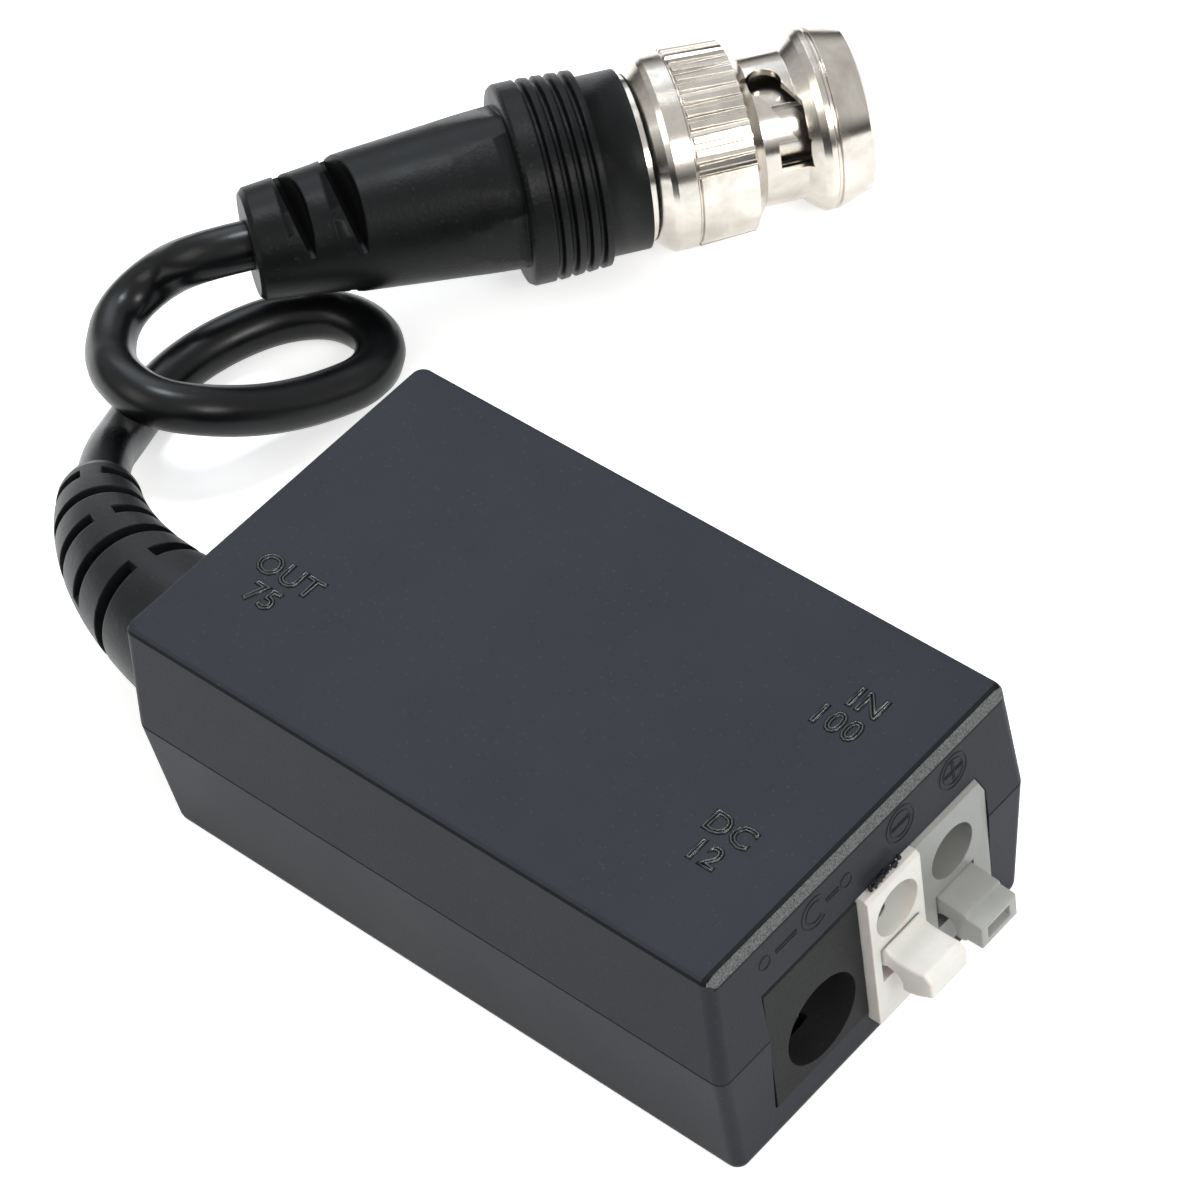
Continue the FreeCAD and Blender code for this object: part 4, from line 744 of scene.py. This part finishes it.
def scoopLever(form, setup):
    # the white lever's top runs down like a spoon from a high back to a thin tip, with a pimple at its corner
    reach = setup["reach"]
    plain, sided = setup["scoopSides"]
    thin, thinFrom, thinOver = setup["thin"]
    pimpleIn, pimpleAcross, pimpleRadius, pimpleHeight = setup["pimple"]
    for vertex in form.vertices:
        x, y, z = (value / mm for value in vertex.co)
        along, across = x - setup["face"], (y - setup["middle"]) / setup["half"]
        if along < setup["start"]:
            continue
        part = min(along / reach, 1)
        high = clamped((z - setup["top"] + setup["depth"]) / setup["blend"])
        top = setup["rise"] * max(0, 1 - along / setup["riseLength"]) ** 2 * min(along / setup["riseRun"], 1)
        scoop = setup["scoop"] * math.sin(math.pi * min(part / setup["scoopEnd"], 1))
        top -= scoop * (plain - sided * across) + setup["droop"] * part
        low = thin * clamped((part - thinFrom) / thinOver)
        vertex.co.z += (top * high + low * (1 - high)) * mm
        vertex.co.x += setup["longer"] * part * mm
        away = math.hypot(along - reach + pimpleIn, across * setup["half"] - pimpleAcross)
        vertex.co.z += pimpleHeight * max(0, 1 - away / pimpleRadius) * high * mm
        vertex.co.y += setup["wander"] * part * mm * noise.noise(vertex.co * setup["grain"])


def makeLever(shade, setup, finish):
    node, own = f"lever_{shade}", setup[shade]
    form = mergedForm(node, setup["merge"])
    bmesh.ops.dissolve_limit(form, angle_limit=math.radians(1), verts=form.verts, edges=form.edges)
    rough = bpy.data.objects.new(node, meshFrom(node, form))
    bevel = rough.modifiers.new("edges", "BEVEL")
    bevel.width = own["edge"] * mm
    bevel.segments = own["segments"]
    bevel.angle_limit = math.radians(setup["bevelFrom"])
    spooned = "voxel" in own
    if spooned:
        remesh = rough.modifiers.new("skin", "REMESH")
        remesh.mode = "VOXEL"
        remesh.voxel_size = own["voxel"] * mm
        smooth = rough.modifiers.new("melt", "SMOOTH")
        smooth.iterations = own["smooth"]
    finished = meshOf(rough)
    if spooned:
        scoopLever(finished, spoonSetup)
    lever = placePiece(f"lever{shade.capitalize()}", finished, f"{shade}_lever", finish)
    if not spooned:
        finished.set_sharp_from_angle(angle=math.radians(setup["sharp"]))
    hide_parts(node)


makeLever("white", leverSetup, "terminal_white")
makeLever("grey", leverSetup, "lever_grey")
print("levers made")


# Torn flash left on the window's edge above the white terminal

flashSetup = {
    "start": (25.15, -0.45, 14.85),
    "end": (25.15, 2.3, 15.0),
    "count": 17,
    "size": 0.3,
    "spread": 0.14,
    "seed": 7,
    "rough": 0.1,           # how far a chip's skin wanders, in mm
    "grain": 6000,          # scale of that per m
}


def flashTree():
    tree = bpy.data.node_groups.new("tornFlash", "GeometryNodeTree")
    sockets = {}
    for label, kind in (("Start", "Vector"), ("End", "Vector"), ("Count", "Int"), ("Size", "Float"),
                        ("Spread", "Float"), ("Seed", "Int"), ("Finish", "Material")):
        made = tree.interface.new_socket(label, in_out="INPUT", socket_type=f"NodeSocket{kind}")
        sockets[label] = made.identifier
    tree.interface.new_socket("Geometry", in_out="OUTPUT", socket_type="NodeSocketGeometry")
    given = tree.nodes.new("NodeGroupInput").outputs
    line = addNode(tree, "GeometryNodeMeshLine", {
        "Count": given["Count"], "Start Location": given["Start"], "Offset": given["End"]}, mode="END_POINTS")
    spread = given["Spread"]
    reach = addNode(tree, "ShaderNodeCombineXYZ", {
        "X": maths(tree, "MULTIPLY", spread, 0.5), "Y": spread, "Z": spread}).outputs[0]
    low = vectorMaths(tree, "SUBTRACT", (0, 0, 0), reach)[0]
    shift = addNode(tree, "FunctionNodeRandomValue", {0: low, 1: reach, "Seed": given["Seed"]},
                    data_type="FLOAT_VECTOR").outputs[0]
    moved = addNode(tree, "GeometryNodeSetPosition", {"Geometry": line.outputs[0], "Offset": shift})
    chip = addNode(tree, "GeometryNodeMeshIcoSphere", {"Radius": given["Size"], "Subdivisions": 2})
    fullTurn = 6.28
    turn = addNode(tree, "FunctionNodeRandomValue", {1: (fullTurn,) * 3, "Seed": given["Seed"]},
                   data_type="FLOAT_VECTOR").outputs[0]
    grow = addNode(tree, "FunctionNodeRandomValue", {
        0: (0.3, 0.3, 0.3), 1: (0.75, 1.0, 0.9), "Seed": given["Seed"]}, data_type="FLOAT_VECTOR").outputs[0]
    chips = addNode(tree, "GeometryNodeInstanceOnPoints", {
        "Points": moved.outputs[0], "Instance": chip.outputs["Mesh"], "Rotation": turn, "Scale": grow})
    real = addNode(tree, "GeometryNodeRealizeInstances", {"Geometry": chips.outputs[0]})
    finish = addNode(tree, "GeometryNodeSetMaterial", {
        "Geometry": real.outputs[0], "Material": given["Finish"]})
    tree.links.new(finish.outputs[0], tree.nodes.new("NodeGroupOutput").inputs[0])
    return tree, sockets


def makeFlash(setup, finish):
    tree, sockets = flashTree()
    holder = bpy.data.objects.new("flash", bpy.data.meshes.new("flash"))
    grower = holder.modifiers.new("tornFlash", "NODES")
    grower.node_group = tree
    for label, value in (
            ("Start", [v * mm for v in setup["start"]]), ("End", [v * mm for v in setup["end"]]),
            ("Count", setup["count"]), ("Size", setup["size"] * mm), ("Spread", setup["spread"] * mm),
            ("Seed", setup["seed"]), ("Finish", finishes[finish])):
        grower[sockets[label]] = value
    torn = meshOf(holder)
    for vertex in torn.vertices:
        vertex.co += vertex.normal * noise.noise(vertex.co * setup["grain"]) * setup["rough"] * mm
    placePiece("tornFlash", torn, "housing", finish, smooth=False)


makeFlash(flashSetup, "case_black")
print("torn flash grown")


# Floor, world and lights

studio = {
    "floorSize": 1.5,       # half its side, in m
    "floorColour": (0.82, 0.82, 0.82, 1),
    "floorLift": 0.58,      # extra light seen only directly, in reflections and through clear pieces
    "worldStrength": 0.75,
    "horizon": (0.05, 0.045, 0.04),
    "rise": (0.12, 0.38),   # upward part of the view where the horizon's colour ends and plain white starts
    "aim": (-0.01, 0.01, 0.01),
    "distance": 0.5,        # of each lamp from there, in m
    "lamps": [              # name, watts, size in m, azimuth, elevation, colour
        ("overheadSoftbox", 1.0, 0.1, 228, 74, (0.88, 0.95, 1.0)),
        ("farSoftbox", 0.5, 0.26, 236, 42, (0.8, 0.9, 1.0)),
        ("leftSoftbox", 0.45, 0.26, 330, 40, (1.0, 0.98, 0.88)),
        ("rightSoftbox", 1.0, 0.16, 80, 38, (1.0, 0.99, 0.96)),
    ],
}


def makeFloor(setup):
    form = bmesh.new()
    bmesh.ops.create_grid(form, x_segments=1, y_segments=1, size=setup["floorSize"])
    mesh = meshFrom("floor", form)
    floor = bpy.data.objects.new("floor", mesh)
    scene.collection.objects.link(floor)
    paper, tree, face = startMaterial("floorPaper")
    tree.nodes.remove(face)
    seen = addNode(tree, "ShaderNodeLightPath").outputs
    shown = maths(tree, "MAXIMUM", maths(tree, "MAXIMUM", seen["Is Camera Ray"], seen["Is Glossy Ray"]),
                  seen["Is Transmission Ray"])
    matt = addNode(tree, "ShaderNodeBsdfDiffuse", {"Color": setup["floorColour"]})
    lift = addNode(tree, "ShaderNodeEmission", {
        "Color": (1, 1, 1, 1), "Strength": maths(tree, "MULTIPLY", shown, setup["floorLift"]),
    })
    both = addNode(tree, "ShaderNodeAddShader", {0: matt.outputs[0], 1: lift.outputs[0]})
    tree.links.new(both.outputs[0], tree.nodes["Material Output"].inputs["Surface"])
    mesh.materials.append(paper)


def makeWorld(setup):
    world = bpy.data.worlds.new("studio")
    world.use_nodes = True
    scene.world = world
    tree = world.node_tree
    # pale above, with a darker band near the horizon that gives the metal its contrast
    seen = addNode(tree, "ShaderNodeTexCoord").outputs["Generated"]
    rise = addNode(tree, "ShaderNodeSeparateXYZ", {"Vector": seen}).outputs[2]
    ramp = addNode(tree, "ShaderNodeValToRGB", {"Fac": rise})
    shades = ((*setup["horizon"], 1), (1, 1, 1, 1))
    for element, position, shade in zip(ramp.color_ramp.elements, setup["rise"], shades):
        element.position = position
        element.color = shade
    back = tree.nodes["Background"]
    tree.links.new(ramp.outputs[0], back.inputs["Color"])
    back.inputs["Strength"].default_value = setup["worldStrength"]


def makeLamps(setup):
    for name, watts, size, azimuth, elevation, tint in setup["lamps"]:
        a, e = math.radians(azimuth), math.radians(elevation)
        back = Vector((math.sin(a) * math.cos(e), -math.cos(a) * math.cos(e), math.sin(e)))
        lamp = bpy.data.lights.new(name, "AREA")
        lamp.energy = watts
        lamp.color = tint
        lamp.shape = "SQUARE"
        lamp.size = size
        holder = bpy.data.objects.new(name, lamp)
        scene.collection.objects.link(holder)
        turn = (-back).to_track_quat("-Z", "Y").to_matrix().to_4x4()
        holder.matrix_world = Matrix.Translation(Vector(setup["aim"]) + back * setup["distance"]) @ turn


makeFloor(studio)
makeWorld(studio)
makeLamps(studio)
scene.view_settings.view_transform = "Standard"
print("studio set")
